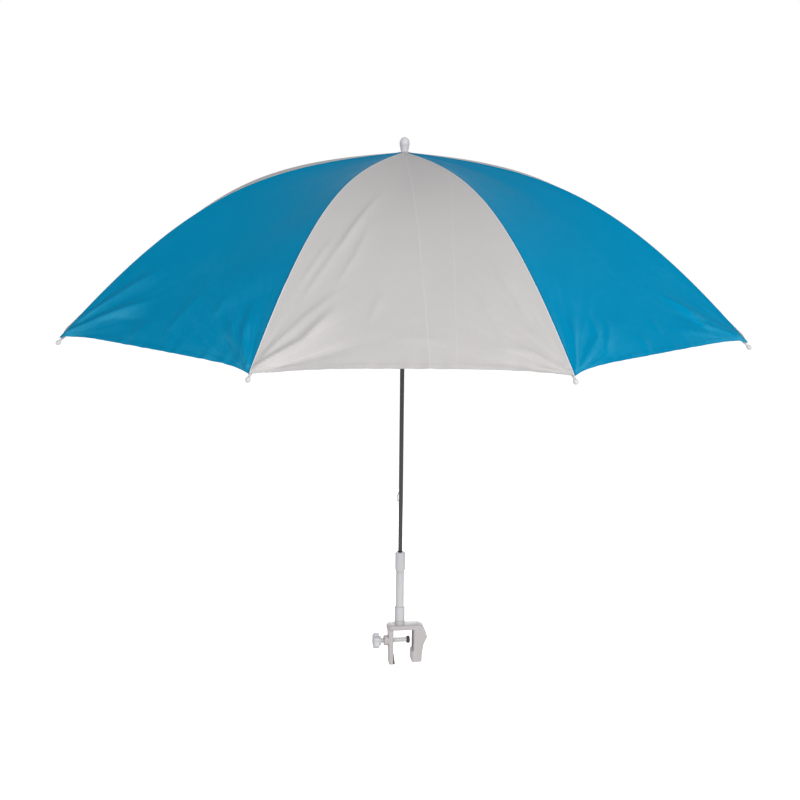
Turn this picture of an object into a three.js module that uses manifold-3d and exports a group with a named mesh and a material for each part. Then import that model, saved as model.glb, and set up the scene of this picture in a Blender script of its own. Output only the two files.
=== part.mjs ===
// Clip-on stroller parasol, open and upright. Millimetres, +Z up.
// The origin is the seat of the clamp's jaws, straight below the shaft. The jaws lie along X.
import * as THREE from 'three';
import { mergeVertices } from 'three/addons/utils/BufferGeometryUtils.js';
import Module from 'manifold-3d';

const wasm = await Module();
wasm.setup();

// Clearances
const gap = 0.3; // between pieces that rest on or in each other
const slotPlay = 0.4; // each side of a tongue in its slot
const overrun = 5; // how far every cutter passes the face that it cuts

// Canopy and ribs
const ribCount = 8;
const canopyTurn = -7.7; // degrees from the jaws' front to the middle of gore 1
const tipReach = 500; // rib tip ball from the shaft axis
const hingeReach = 8; // radius of the ring on which the ribs turn
const tipDrop = 244.5; // rib tip ball below that ring
const ribBend = 40.6; // degrees that a rib bends from hinge to tip, most of it near the stretcher
const bendPeakShare = 0.42; // place of the sharpest bend along the rib
const bendEndShare = 0.1; // bend at both ends, against the sharpest
const wireRadius = 1.2; // rib wire
const ribFold = 61; // degrees that a rib turns from open to folded

// Joint between rib and stretcher
const earAlong = 231.5; // along the rib from the hinge to the foot of the ear
const earDrop = 4.2; // pivot below the middle of the rib wire
const earThick = 1.4;
const earRadius = 2.2;
const pivotPinRadius = 0.8;
const rivetHeadRadius = 1.6;
const rivetHeadThick = 0.6;
const cheekThick = 1;
const forkLength = 8.5;
const stretcherRadius = 1.1;
const tongueThick = 1.6; // flattened inner ends of ribs and stretchers
const eyeRadius = 1.9;
const eyeHoleRadius = 1;
const tongueLength = 7.5;

// Rib tips
const tipBallRadius = 3.2;
const tipBallHalfLength = 3.8;
const tipStemRadius = 2.1;
const tipStemLength = 13; // from the ball's middle to the stem's mouth
const tipBoreDepth = 10; // from the mouth

// Cloth
const clothThick = 0.7;
const clothLift = 2.5; // inner face of the cloth above the middle of the rib wire
const clothEnd = 6; // edge of the cloth at a seam, short of the tip ball
const crownHole = 6; // radius of the hole in the cloth at the crown
const goreSag = 9; // how far a gore lies inside the straight line between its ribs
const hemArch = 9; // how far the hem rises between two tips
const hemArchPower = 2.2;

// Shaft and catches
const shaftRadius = 3.2;
const shaftBore = 2.5;
const shaftPlay = 0.8; // shaft's end below the floor of the cap's bore
const catchTurn = -100; // degrees, on the side of the lower spring's bump
const catchReach = 5.8; // bump's face from the axis
const catchThick = 1.6;
const catchHeight = 18;
const catchSquare = 6; // straight part of the bump's face, next to its shoulder
const catchLeg = 34; // spring leg beyond the bump
const catchLegNear = 0.6;
const catchLegFar = 1.5;
const catchSeatLength = 6; // thicker end of the leg, against the wall of the shaft
const catchSeatFar = 2;
const windowPlay = 0.8; // catch in the runner's window, above and below

// Top notch and its ring
const notchRadius = 10.6;
const notchAbove = 1.9;
const notchBelow = 4.5;
const notchHubRadius = 6.5;
const notchHubDrop = 11;
const notchSlotFloor = 5.3;
const notchSlotDrop = 1; // how far the slots run on below the flange
const ringWireRadius = 0.6;
const ringGroove = 0.9; // half height of the groove, and its depth inside the ring
const notchPinRadius = 0.8;
const notchPinDrop = 7.8; // below the hinge ring

// Crown washer and ferrule cap
const washerThick = 1;
const washerRadius = 9;
const capFootRadius = 5.4;
const capNeckRadius = 6.3;
const capBulbRadius = 7.2;
const capHeight = 20.5;
const capNeckHeight = 5.5;
const capBore = 12;
const capBulbShare = 0.4; // height of the widest part, over the neck

// Runner
const runnerCrownRadius = 11;
const runnerCrownAbove = 4;
const runnerCrownBelow = 6;
const runnerSlotFloor = 5.6;
const runnerBarrelRadius = 5.1;
const runnerLength = 78; // from the stretchers' ring to the lower rim
const runnerRimRadius = 6.6;
const runnerRimHeight = 4;
const windowLift = 8.7; // window above the lower rim's foot
const runnerStop = 69.6; // folded runner's rim above the neck

// Neck
const socketTop = 13;
const socketBossRadius = 7.6;
const collarRadius = 7.55;
const lowerCollarTop = 35;
const spigotRadius = 4;
const spigotLength = 9.5;
const sleeveRadius = 6.15;
const sleeveLength = 54; // from collar to collar, with its clearances
const coreRadius = 2.5;
const lowerCoreGrip = 18; // core in the lower collar
const upperCoreGrip = 2; // core in the upper collar
const upperCollarLength = 31;
const upperCollarTaper = 5;
const upperCollarFootRadius = 6.4;
const collarEdge = 1;
const shaftSeat = 4.3; // foot of the shaft above the foot of the upper collar

// Clamp body
const bridgeHeight = 7.1;
const clampDepth = 24;
const bridgeLeft = -19.5;
const bridgeRight = 29.7;
const bridgeCorner = 9; // plan radius of the bridge's left corners
const armLength = 51;
const rightArmInner = 20.5;
const lipInner = 17.8;
const lipHeight = 15.5;
const lipSlope = 2.4;
const armReach = 41.2; // right arm's elbow from the shaft axis
const armReachShares = [0.871, 0.947, 1, 0.927, 0.859, 0.828, 0.808, 0.791]; // outer side, from the top down
const armDropShares = [0.064, 0.205, 0.336, 0.415, 0.547, 0.682, 0.811, 1]; // down from the bridge's top
const grooveDepth = 3.5; // groove in the right arm, for the frame's tube
const grooveWidth = 14;
const leftArmInner = -10;
const leftArmOuter = -17.8;
const leftArmTaper = 1.5;
const leftArmDepth = 16;
const leftArmPast = 4; // foot of the left arm below the right one
const screwBossRadius = 7.8;
const screwBossLength = 6;

// Grip strip on the left arm
const stripSeat = 1;
const stripTopThick = 1.6;
const stripFootThick = 3.4;
const stripHeight = 16;
const stripWidth = 12;

// Clamp screw, with the knob outside the left arm
const screwDrop = 18; // screw axis below the jaw seat
const screwRadius = 4;
const padNear = 11;
const padThick = 4.5;
const padRadius = 5.5;
const screwTipRadius = 2;
const screwTipLength = 2.5;
const knobGap = 4.4; // between the knob and the boss
const knobThick = 9;
const knobReach = 12; // lobes
const knobWaist = 9.8; // between the lobes
const knobLobes = 6;
const knobCollarRadius = 7;
const knobCollarLength = 3;
const knobBore = 8;

// Round counts
const wireSides = 6;
const roundSides = 24;
const fineSides = 32;
const bulbSteps = 6;
const lobeSteps = 6; // points on each lobe of the knob
const smallSides = 8;
const cornerSides = 20;
const ribSteps = 12;
const bowSteps = 60; // steps in adding up the bow
const goreAcross = 8;
const goreAlong = 12;

const degree = Math.PI / 180;
const halfGore = 180 / ribCount;

// Turning and scaling of solids
function toSolid(geometry) {
  const bare = geometry.index ? geometry.clone() : geometry;
  for (const name of Object.keys(bare.attributes)) if (name !== 'position') bare.deleteAttribute(name);
  const merged = mergeVertices(bare, gap / 1000);
  const vertProperties = Float32Array.from(merged.attributes.position.array);
  const triVerts = [];
  const index = merged.index.array;
  for (let i = 0; i < index.length; i += 3) {
    const [a, b, c] = [index[i], index[i + 1], index[i + 2]];
    if (a !== b && b !== c && a !== c) triVerts.push(a, b, c);
  }
  const point = (n) => new THREE.Vector3().fromArray(vertProperties, 3 * n);
  let volume = 0;
  for (let i = 0; i < triVerts.length; i += 3) {
    volume += point(triVerts[i]).dot(point(triVerts[i + 1]).cross(point(triVerts[i + 2])));
  }
  if (volume < 0) triVerts.reverse();
  const triangles = Uint32Array.from(triVerts);
  return new wasm.Manifold(new wasm.Mesh({ numProp: 3, vertProperties, triVerts: triangles }));
}

function toGeometry(solid) {
  const mesh = solid.getMesh();
  const geometry = new THREE.BufferGeometry();
  geometry.setAttribute('position', new THREE.BufferAttribute(Float32Array.from(mesh.vertProperties), 3));
  geometry.setIndex(new THREE.BufferAttribute(Uint32Array.from(mesh.triVerts), 1));
  return geometry;
}

function join(solids) {
  return solids.reduce((whole, next) => whole.add(next));
}

function cut(solid, cutters) {
  return cutters.reduce((rest, cutter) => rest.subtract(cutter), solid);
}

// Lathed solid about Z, from [radius, height] points. A closed outline leaves a bore.
function turned(points, sides = roundSides) {
  const outline = points.map(([radius, height]) => new THREE.Vector2(radius, height));
  if (points[0][0] > 0) outline.push(outline[0].clone());
  return toSolid(new THREE.LatheGeometry(outline, sides).rotateX(Math.PI / 2));
}

function disc(radius, low, high, sides = roundSides) {
  return turned([[0, low], [radius, low], [radius, high], [0, high]], sides);
}

function ring(bore, radius, low, high, sides = roundSides) {
  return turned([[bore, low], [radius, low], [radius, high], [bore, high]], sides);
}

// Block between two corners
function block(low, high) {
  const size = high.map((value, n) => value - low[n]);
  const middle = high.map((value, n) => (value + low[n]) / 2);
  return toSolid(new THREE.BoxGeometry(...size).translate(...middle));
}

// Plate in the XZ plane, from an outline of [x, z] points, centred on Y or between two Y values
function plate(outline, thick, middle = 0, holes = []) {
  const shape = new THREE.Shape(outline.map(([x, z]) => new THREE.Vector2(x, z)));
  shape.holes = holes.map((hole) => new THREE.Path(hole.map(([x, z]) => new THREE.Vector2(x, z))));
  const geometry = new THREE.ExtrudeGeometry(shape, { depth: thick, bevelEnabled: false });
  return toSolid(geometry.rotateX(Math.PI / 2).translate(0, middle + thick / 2, 0));
}

// Outline with round ends between two points of the XZ plane
function lobe([x1, z1], [x2, z2], radius, sides = smallSides) {
  const heading = Math.atan2(z2 - z1, x2 - x1);
  const half = sides / 2;
  const arc = (x, z, start) => Array.from({ length: half + 1 }, (_, n) => {
    const angle = start + (Math.PI * n) / half;
    return [x + radius * Math.cos(angle), z + radius * Math.sin(angle)];
  });
  return [...arc(x2, z2, heading - Math.PI / 2), ...arc(x1, z1, heading + Math.PI / 2)];
}

function circle([x, z], radius, sides = smallSides) {
  return Array.from({ length: sides }, (_, n) => {
    const angle = (2 * Math.PI * n) / sides;
    return [x + radius * Math.cos(angle), z + radius * Math.sin(angle)];
  });
}

// Round rod between two points of the XZ plane
function rod([x1, z1], [x2, z2], radius, sides = wireSides) {
  const length = Math.hypot(x2 - x1, z2 - z1);
  const geometry = new THREE.CylinderGeometry(radius, radius, length, sides);
  geometry.rotateZ(Math.atan2(z2 - z1, x2 - x1) - Math.PI / 2);
  geometry.translate((x1 + x2) / 2, (z1 + z2) / 2, 0);
  return toSolid(geometry.rotateX(Math.PI / 2));
}

// Pin along Y at a point of the XZ plane
function crossPin([x, z], radius, halfLength, sides = smallSides) {
  return toSolid(new THREE.CylinderGeometry(radius, radius, 2 * halfLength, sides).translate(x, 0, z));
}

// Materials
const whitePlastic = { color: 0xe4e2e4, roughness: 0.42, metalness: 0 };
const darkSteel = { color: 0x4c4643, roughness: 0.32, metalness: 0.85 };
const zincSteel = { color: 0xa9abad, roughness: 0.35, metalness: 0.9 };
const springSteel = { color: 0x6e6a66, roughness: 0.3, metalness: 0.9 };
const darkRubber = { color: 0x2b2423, roughness: 0.8, metalness: 0 };
const whiteCloth = { color: 0xc9c6c5, roughness: 0.6, metalness: 0 };
const blueCloth = { color: 0x0a84b8, roughness: 0.55, metalness: 0 };

const parasol = new THREE.Group();

function place(name, solid, finish, turn = 0) {
  const material = new THREE.MeshStandardMaterial(finish);
  const mesh = new THREE.Mesh(toGeometry(solid), material);
  mesh.name = name;
  mesh.rotation.z = turn * degree;
  parasol.add(mesh);
}

// A rib's own plane holds its radius as x. The turn is counted from the jaws' front.
const ribTurn = (n) => canopyTurn - halfGore + (2 * halfGore) * n - 90;
const goreTurn = (n) => ribTurn(n) + halfGore;

// The rib's bow from the hinge to the tip ball: bent most at its peak and almost straight at its ends
const endEase = (1 - bendEndShare) / 2;
function bendTo(share) {
  const before = Math.min(share, bendPeakShare);
  const after = share - before;
  const rising = bendEndShare * before + (endEase * before ** 2) / bendPeakShare;
  return rising + after - (endEase * after ** 2) / (1 - bendPeakShare);
}
const turnedBy = (share) => (ribBend * degree * bendTo(share)) / bendTo(1);

// Where a line of a given length ends, from its heading at each point
function follow(length, headingAt) {
  const step = length / bowSteps;
  return Array.from({ length: bowSteps }, (_, n) => headingAt((n + 1 / 2) * step)).reduce(
    ([x, z], heading) => [x + step * Math.cos(heading), z + step * Math.sin(heading)],
    [0, 0],
  );
}

const unitWay = follow(1, (share) => -turnedBy(share));
const bowLength = Math.hypot(tipReach - hingeReach, tipDrop) / Math.hypot(...unitWay);
const startSlope = Math.atan2(-tipDrop, tipReach - hingeReach) - Math.atan2(unitWay[1], unitWay[0]);

// Heading of the bow at a length along it, and the way there from the hinge, lifted off the wire's middle
const bowHeading = (along) => startSlope - turnedBy(along / bowLength);
function bowWay(along, lift = 0) {
  const outward = bowHeading(along) + Math.PI / 2;
  const [x, z] = follow(along, bowHeading);
  return [x + lift * Math.cos(outward), z + lift * Math.sin(outward)];
}

// Stretcher pivot on the rib, and how far below the hinges the runner's ring is, open and folded
const pivotWay = bowWay(earAlong, -earDrop);
const openDrop = -2 * pivotWay[1];
const pivotSlope = Math.atan2(-pivotWay[1], pivotWay[0]);
const foldedDrop = 2 * Math.hypot(...pivotWay) * Math.sin(pivotSlope + ribFold * degree);

// Heights above the jaw seat: the neck, the folded runner over it, and the hinges above that
const upperCollarFoot = lowerCollarTop + sleeveLength;
const upperCollarTop = upperCollarFoot + upperCollarLength;
const shaftFoot = upperCollarFoot + shaftSeat;
const foldedRunnerHeight = upperCollarTop + runnerStop + runnerLength;
const hingeHeight = foldedRunnerHeight + foldedDrop;
const runnerHeight = hingeHeight - openDrop;
const openTravel = foldedDrop - openDrop;
const windowFoot = runnerHeight - runnerLength + windowLift;
const highCatchShoulder = windowFoot + windowPlay + catchHeight; // square upper end of the top catch
const lowCatchShoulder = windowFoot + windowPlay - openTravel; // square lower end of the bottom catch

const hinge = [hingeReach, hingeHeight];
const tip = [tipReach, hingeHeight - tipDrop];
const runnerPivot = [hingeReach, runnerHeight];
const bowPoint = (along, lift = 0) => bowWay(along, lift).map((value, n) => hinge[n] + value);
const earFoot = bowPoint(earAlong, wireRadius - earRadius);
const ribPivot = bowPoint(earAlong, -earDrop);

// Crown, from the cloth's highest point up
const clothTop = Math.max(...[0, washerRadius].map((along) => bowPoint(along, clothLift + clothThick)[1]));
const washerLow = clothTop + gap;
const washerHigh = washerLow + washerThick;
const capFoot = washerHigh + gap;
const shaftTop = capFoot + capBore - shaftPlay;

class BowCurve extends THREE.Curve {
  constructor(start, end) {
    super();
    this.start = start;
    this.end = end;
  }

  getPoint(share) {
    const [x, z] = bowPoint(this.start + (this.end - this.start) * share);
    return new THREE.Vector3(x, 0, z);
  }
}

// The wire's last straight piece sets the slant of the rib tip
const wireStart = tongueLength - eyeRadius;
const wireEnd = bowLength - tipStemLength + tipBoreDepth - gap;
const tipHeading = bowHeading(wireEnd - (wireEnd - wireStart) / (2 * ribSteps));

function ribSolid() {
  const section = new THREE.Shape(circle([0, 0], wireRadius, wireSides).map((p) => new THREE.Vector2(...p)));
  const options = { steps: ribSteps, extrudePath: new BowCurve(wireStart, wireEnd), bevelEnabled: false };
  const wire = toSolid(new THREE.ExtrudeGeometry(section, options));
  const tongue = plate(lobe(hinge, bowPoint(tongueLength), eyeRadius), tongueThick);
  const ear = plate(lobe(earFoot, ribPivot, earRadius), earThick);
  const eye = crossPin(hinge, eyeHoleRadius, tongueThick);
  const pivotHole = crossPin(ribPivot, pivotPinRadius + gap, earThick);
  return cut(join([wire, tongue, ear]), [eye, pivotHole]);
}

function stretcherSolid() {
  const length = Math.hypot(ribPivot[0] - runnerPivot[0], ribPivot[1] - runnerPivot[1]);
  const along = (distance) => ribPivot.map((value, n) => (
    value + ((runnerPivot[n] - value) * distance) / length
  ));
  const cheekMiddle = earThick / 2 + gap + cheekThick / 2;
  const forkWidth = 2 * (cheekMiddle + cheekThick / 2);
  const webStart = 2 * earRadius + 2 * gap;
  const cheeks = [-cheekMiddle, cheekMiddle].map((middle) => (
    plate(lobe(ribPivot, along(forkLength), earRadius), cheekThick, middle)
  ));
  const web = plate(lobe(along(webStart), along(forkLength), earRadius), forkWidth);
  const pin = crossPin(ribPivot, pivotPinRadius, forkWidth / 2);
  const heads = [-1, 1].map((side) => {
    const middle = side * (forkWidth / 2 + rivetHeadThick / 2);
    return plate(circle(ribPivot, rivetHeadRadius), rivetHeadThick, middle);
  });
  const bar = rod(along(forkLength), along(length - tongueLength), stretcherRadius);
  const tongue = plate(lobe(runnerPivot, along(length - tongueLength), eyeRadius), tongueThick);
  const eye = crossPin(runnerPivot, eyeHoleRadius, tongueThick);
  return cut(join([...cheeks, web, pin, ...heads, bar, tongue]), [eye]);
}

function tipSolid() {
  const ball = Array.from({ length: smallSides }, (_, n) => {
    const angle = -Math.PI / 3 + ((Math.PI / 3 + Math.PI / 2) * n) / (smallSides - 1);
    return [tipBallRadius * Math.max(0, Math.cos(angle)), tipBallHalfLength * Math.sin(angle)];
  });
  ball[ball.length - 1][0] = 0;
  const bore = wireRadius + gap;
  const boreFloor = tipBoreDepth - tipStemLength;
  const profile = [
    [0, boreFloor], [bore, boreFloor], [bore, -tipStemLength],
    [tipStemRadius, -tipStemLength], [tipStemRadius, -tipBallHalfLength], ...ball,
  ];
  const outline = profile.map(([radius, height]) => new THREE.Vector2(radius, height));
  const geometry = new THREE.LatheGeometry(outline, smallSides).rotateX(Math.PI / 2);
  geometry.rotateY(Math.PI / 2 - tipHeading).translate(tip[0], 0, tip[1]);
  return toSolid(geometry);
}

// A gore between two ribs. Its own plane is its middle, with the seams on both sides of it.
function goreSolid() {
  const start = (crownHole - hingeReach) / Math.cos(bowHeading(0));
  const end = bowLength - clothEnd;
  const surface = (across, share, lift) => {
    const arch = hemArch * (1 - Math.abs(across) ** hemArchPower);
    const along = start + (end - arch - start) * share;
    const [reach, height] = bowPoint(along, lift);
    const sag = goreSag * Math.sin(Math.PI * share) * (1 - across ** 2);
    const outward = bowHeading(along) + Math.PI / 2;
    const side = reach * Math.sin(halfGore * degree) - gap / 2;
    return [
      reach * Math.cos(halfGore * degree) - sag * Math.cos(outward),
      across * side,
      height - sag * Math.sin(outward),
    ];
  };
  const points = [];
  for (const lift of [clothLift, clothLift + clothThick]) {
    for (let i = 0; i <= goreAlong; i += 1) {
      for (let j = 0; j <= goreAcross; j += 1) {
        points.push(...surface((2 * j) / goreAcross - 1, i / goreAlong, lift));
      }
    }
  }
  const row = goreAcross + 1;
  const layer = row * (goreAlong + 1);
  const index = [];
  const quad = (a, b, c, d) => index.push(a, b, c, a, c, d);
  for (let i = 0; i < goreAlong; i += 1) {
    for (let j = 0; j < goreAcross; j += 1) {
      const corner = i * row + j;
      quad(corner, corner + 1, corner + row + 1, corner + row);
      quad(layer + corner, layer + corner + row, layer + corner + row + 1, layer + corner + 1);
    }
    const last = i * row + goreAcross;
    quad(i * row, i * row + row, layer + i * row + row, layer + i * row);
    quad(last, layer + last, layer + last + row, last + row);
  }
  for (let j = 0; j < goreAcross; j += 1) {
    const last = goreAlong * row + j;
    quad(j, layer + j, layer + j + 1, j + 1);
    quad(last, last + 1, layer + last + 1, layer + last);
  }
  const geometry = new THREE.BufferGeometry();
  geometry.setAttribute('position', new THREE.Float32BufferAttribute(points, 3));
  geometry.setIndex(index);
  return toSolid(geometry);
}

function buildCanopy() {
  for (let n = 0; n < ribCount; n += 1) {
    const number = n + 1;
    place(`rib_${number}`, ribSolid(), darkSteel, ribTurn(n));
    place(`stretcher_${number}`, stretcherSolid(), darkSteel, ribTurn(n));
    place(`rib_tip_${number}`, tipSolid(), whitePlastic, ribTurn(n));
    place(`canopy_gore_${number}`, goreSolid(), n % 2 ? blueCloth : whiteCloth, goreTurn(n));
  }
}

// Slots at every rib, from a floor outwards
function ribSlots(floor, reach, low, high) {
  const half = tongueThick / 2 + slotPlay;
  return Array.from({ length: ribCount }, (_, n) => (
    block([floor, -half, low], [reach, half, high]).rotate([0, 0, ribTurn(n)])
  ));
}

function buildNotch() {
  const high = hingeHeight + notchAbove;
  const low = hingeHeight - notchBelow;
  const foot = hingeHeight - notchHubDrop;
  const bore = shaftRadius + gap;
  const body = turned([
    [bore, foot], [notchHubRadius, foot], [notchHubRadius, low], [notchRadius, low],
    [notchRadius, hingeHeight - ringGroove], [hingeReach - ringGroove, hingeHeight - ringGroove],
    [hingeReach - ringGroove, hingeHeight + ringGroove], [notchRadius, hingeHeight + ringGroove],
    [notchRadius, high], [bore, high],
  ]);
  const pinHeight = hingeHeight - notchPinDrop;
  const pinHole = rodAlongX(-notchRadius, notchRadius, notchPinRadius + gap, pinHeight);
  const slots = ribSlots(notchSlotFloor, notchRadius + overrun, low - notchSlotDrop, high + overrun);
  place('top_notch', cut(body, [...slots, pinHole.rotate([0, 0, goreTurn(0)])]), whitePlastic);
  const torus = new THREE.TorusGeometry(hingeReach, ringWireRadius, wireSides, fineSides);
  place('notch_ring_wire', toSolid(torus.translate(0, 0, hingeHeight)), zincSteel);
  const pin = rodAlongX(-notchHubRadius, notchHubRadius, notchPinRadius, pinHeight);
  place('notch_pin', pin, zincSteel, goreTurn(0));
}

function rodAlongX(start, end, radius, height, sides = smallSides) {
  return rod([start, height], [end, height], radius, sides);
}

function buildCrown() {
  const bore = shaftRadius + gap;
  place('crown_washer', ring(bore, washerRadius, washerLow, washerHigh), whitePlastic);
  const bulbMiddle = capFoot + capNeckHeight + (capHeight - capNeckHeight) * capBulbShare;
  const topHeight = capFoot + capHeight;
  const bulb = Array.from({ length: bulbSteps + 1 }, (_, n) => {
    const angle = (Math.PI / 2) * (n / bulbSteps);
    return [capBulbRadius * Math.cos(angle), bulbMiddle + (topHeight - bulbMiddle) * Math.sin(angle)];
  });
  bulb[bulbSteps][0] = 0;
  place('ferrule_cap', turned([
    [0, capFoot + capBore], [bore, capFoot + capBore], [bore, capFoot], [capFootRadius, capFoot],
    [capNeckRadius, capFoot + capNeckHeight], ...bulb,
  ]), whitePlastic);
}

// Outline of a catch: a square shoulder at one end, a slope at the other, and the spring leg beyond it
function catchOutline(shoulder, up) {
  const at = (distance) => shoulder + up * distance;
  return [
    [catchLegNear, at(0)], [catchReach, at(0)], [catchReach, at(catchSquare)],
    [catchLegFar, at(catchHeight)], [catchLegFar, at(catchHeight + catchLeg - catchSeatLength)],
    [catchSeatFar, at(catchHeight + catchLeg - catchSeatLength)],
    [catchSeatFar, at(catchHeight + catchLeg)], [catchLegNear, at(catchHeight + catchLeg)],
  ];
}

function catchSlot(shoulder, up) {
  const half = catchThick / 2 + slotPlay;
  const ends = [shoulder - up * slotPlay, shoulder + up * (catchHeight + slotPlay)];
  return block([0, -half, Math.min(...ends)], [shaftRadius + overrun, half, Math.max(...ends)]);
}

function buildShaft() {
  const tube = ring(shaftBore, shaftRadius, shaftFoot, shaftTop);
  const pinHeight = hingeHeight - notchPinDrop;
  const pinHole = rodAlongX(-notchRadius, notchRadius, notchPinRadius + gap, pinHeight);
  const slots = [[lowCatchShoulder, 1], [highCatchShoulder, -1]].map(([shoulder, up]) => (
    catchSlot(shoulder, up).rotate([0, 0, catchTurn - 90])
  ));
  place('shaft', cut(tube, [pinHole.rotate([0, 0, goreTurn(0)]), ...slots]), darkSteel);
  const bottomCatch = plate(catchOutline(lowCatchShoulder, 1), catchThick);
  const topCatch = plate(catchOutline(highCatchShoulder, -1), catchThick);
  place('bottom_catch_spring', bottomCatch, springSteel, catchTurn - 90);
  place('top_catch_spring', topCatch, springSteel, catchTurn - 90);
}

function buildRunner() {
  const bore = shaftRadius + gap;
  const crownHigh = runnerHeight + runnerCrownAbove;
  const crownLow = runnerHeight - runnerCrownBelow;
  const foot = runnerHeight - runnerLength;
  const body = turned([
    [bore, foot], [runnerRimRadius, foot], [runnerRimRadius, foot + runnerRimHeight],
    [runnerBarrelRadius, foot + runnerRimHeight], [runnerBarrelRadius, crownLow],
    [runnerCrownRadius, crownLow], [runnerCrownRadius, crownHigh], [bore, crownHigh],
  ]);
  const half = catchThick / 2 + slotPlay;
  const windowTop = highCatchShoulder + windowPlay;
  const opening = block([0, -half, windowFoot], [notchRadius, half, windowTop])
    .rotate([0, 0, catchTurn - 90]);
  const slots = ribSlots(runnerSlotFloor, runnerCrownRadius + overrun, crownLow - gap, crownHigh + gap);
  place('runner', cut(body, [...slots, opening]), whitePlastic);
}

function buildNeck() {
  const coreBore = coreRadius + gap;
  const spigotFoot = socketTop + gap - spigotLength;
  const coreFoot = lowerCollarTop - lowerCoreGrip;
  const coreTop = upperCollarFoot + upperCoreGrip;
  place('neck_lower_collar', turned([
    [0, spigotFoot], [spigotRadius, spigotFoot], [spigotRadius, socketTop + gap],
    [collarRadius, socketTop + gap],
    [collarRadius, lowerCollarTop - collarEdge], [collarRadius - collarEdge, lowerCollarTop],
    [coreBore, lowerCollarTop], [coreBore, coreFoot - gap], [0, coreFoot - gap],
  ]), whitePlastic);
  const sleeve = ring(coreBore, sleeveRadius, lowerCollarTop + gap, upperCollarFoot - gap);
  place('neck_sleeve', sleeve, whitePlastic);
  place('neck_core', disc(coreRadius, coreFoot, coreTop, smallSides), zincSteel);
  const shaftBoreRadius = shaftRadius + gap;
  place('neck_upper_collar', turned([
    [0, coreTop + gap], [coreBore, coreTop + gap], [coreBore, upperCollarFoot],
    [upperCollarFootRadius, upperCollarFoot],
    [collarRadius, upperCollarFoot + upperCollarTaper], [collarRadius, upperCollarTop - collarEdge],
    [collarRadius - collarEdge, upperCollarTop], [shaftBoreRadius, upperCollarTop],
    [shaftBoreRadius, shaftFoot - gap], [0, shaftFoot - gap],
  ]), whitePlastic);
}

const leftArmLength = armLength + leftArmPast;

function clampSolid() {
  const armFoot = -armLength;
  const lipTop = armFoot + lipHeight;
  const outer = armReachShares.map((share, n) => [
    armReach * share, bridgeHeight - (bridgeHeight + armLength) * armDropShares[n],
  ]);
  const rightArm = plate([
    [rightArmInner, bridgeHeight], [bridgeRight, bridgeHeight], ...outer,
    [lipInner, armFoot], [lipInner, lipTop], [rightArmInner, lipTop + lipSlope],
  ], clampDepth);
  const leftArm = plate([
    [leftArmOuter, bridgeHeight / 2], [leftArmOuter + leftArmTaper, -leftArmLength],
    [leftArmInner, -leftArmLength], [leftArmInner, bridgeHeight / 2],
  ], leftArmDepth);
  const half = clampDepth / 2;
  const corner = (y, start) => circle([bridgeLeft + bridgeCorner, y], bridgeCorner, cornerSides)
    .map((_, n) => start + (2 * Math.PI * n) / cornerSides)
    .filter((angle) => angle <= start + Math.PI / 2 + gap / 100)
    .map((angle) => [
      bridgeLeft + bridgeCorner + bridgeCorner * Math.cos(angle), y + bridgeCorner * Math.sin(angle),
    ]);
  const plan = new THREE.Shape([
    [rightArmInner + grooveDepth, half], ...corner(half - bridgeCorner, Math.PI / 2),
    ...corner(bridgeCorner - half, Math.PI), [rightArmInner + grooveDepth, -half],
  ].map((p) => new THREE.Vector2(...p)));
  const bridge = toSolid(new THREE.ExtrudeGeometry(plan, { depth: bridgeHeight, bevelEnabled: false }));
  const socketBoss = disc(socketBossRadius, bridgeHeight / 2, socketTop);
  const bossEnd = leftArmOuter - screwBossLength;
  const screwBoss = rodAlongX(bossEnd, leftArmInner - gap, screwBossRadius, -screwDrop, roundSides);
  const socketFloor = socketTop - spigotLength - gap;
  const socket = disc(spigotRadius + gap, socketFloor, socketTop + overrun);
  const groove = block(
    [0, -grooveWidth / 2, lipTop + lipSlope], [rightArmInner + grooveDepth, grooveWidth / 2, -lipSlope],
  );
  const screwHole = rodAlongX(bossEnd - overrun, 0, screwRadius + gap, -screwDrop, roundSides);
  const seatHeight = stripHeight + gap;
  const seat = block(
    [leftArmInner - stripSeat, -stripWidth / 2 - gap, -leftArmLength - overrun],
    [0, stripWidth / 2 + gap, seatHeight - leftArmLength],
  );
  return cut(join([rightArm, bridge, socketBoss, leftArm, screwBoss]), [socket, groove, screwHole, seat]);
}

function gripStripSolid() {
  const back = leftArmInner - stripSeat + gap;
  const foot = -leftArmLength;
  return plate([
    [back, foot], [back + stripFootThick, foot], [back + stripTopThick, foot + stripHeight],
    [back, foot + stripHeight],
  ], stripWidth);
}

function knobSolid(near, far, screwEnd) {
  const steps = knobLobes * lobeSteps;
  const outline = Array.from({ length: steps }, (_, n) => {
    const angle = (2 * Math.PI * n) / steps;
    const radius = (knobReach + knobWaist) / 2 + ((knobReach - knobWaist) / 2) * Math.cos(knobLobes * angle);
    return new THREE.Vector2(radius * Math.cos(angle), radius * Math.sin(angle));
  });
  const options = { depth: far - near, bevelEnabled: false };
  const wheel = toSolid(new THREE.ExtrudeGeometry(new THREE.Shape(outline), options)
    .rotateY(Math.PI / 2).translate(near, 0, -screwDrop));
  const collar = rodAlongX(far - gap, far + knobCollarLength, knobCollarRadius, -screwDrop, roundSides);
  const hole = rodAlongX(screwEnd - gap, far + overrun, screwRadius + gap, -screwDrop, roundSides);
  return wheel.add(collar).subtract(hole);
}

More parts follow.
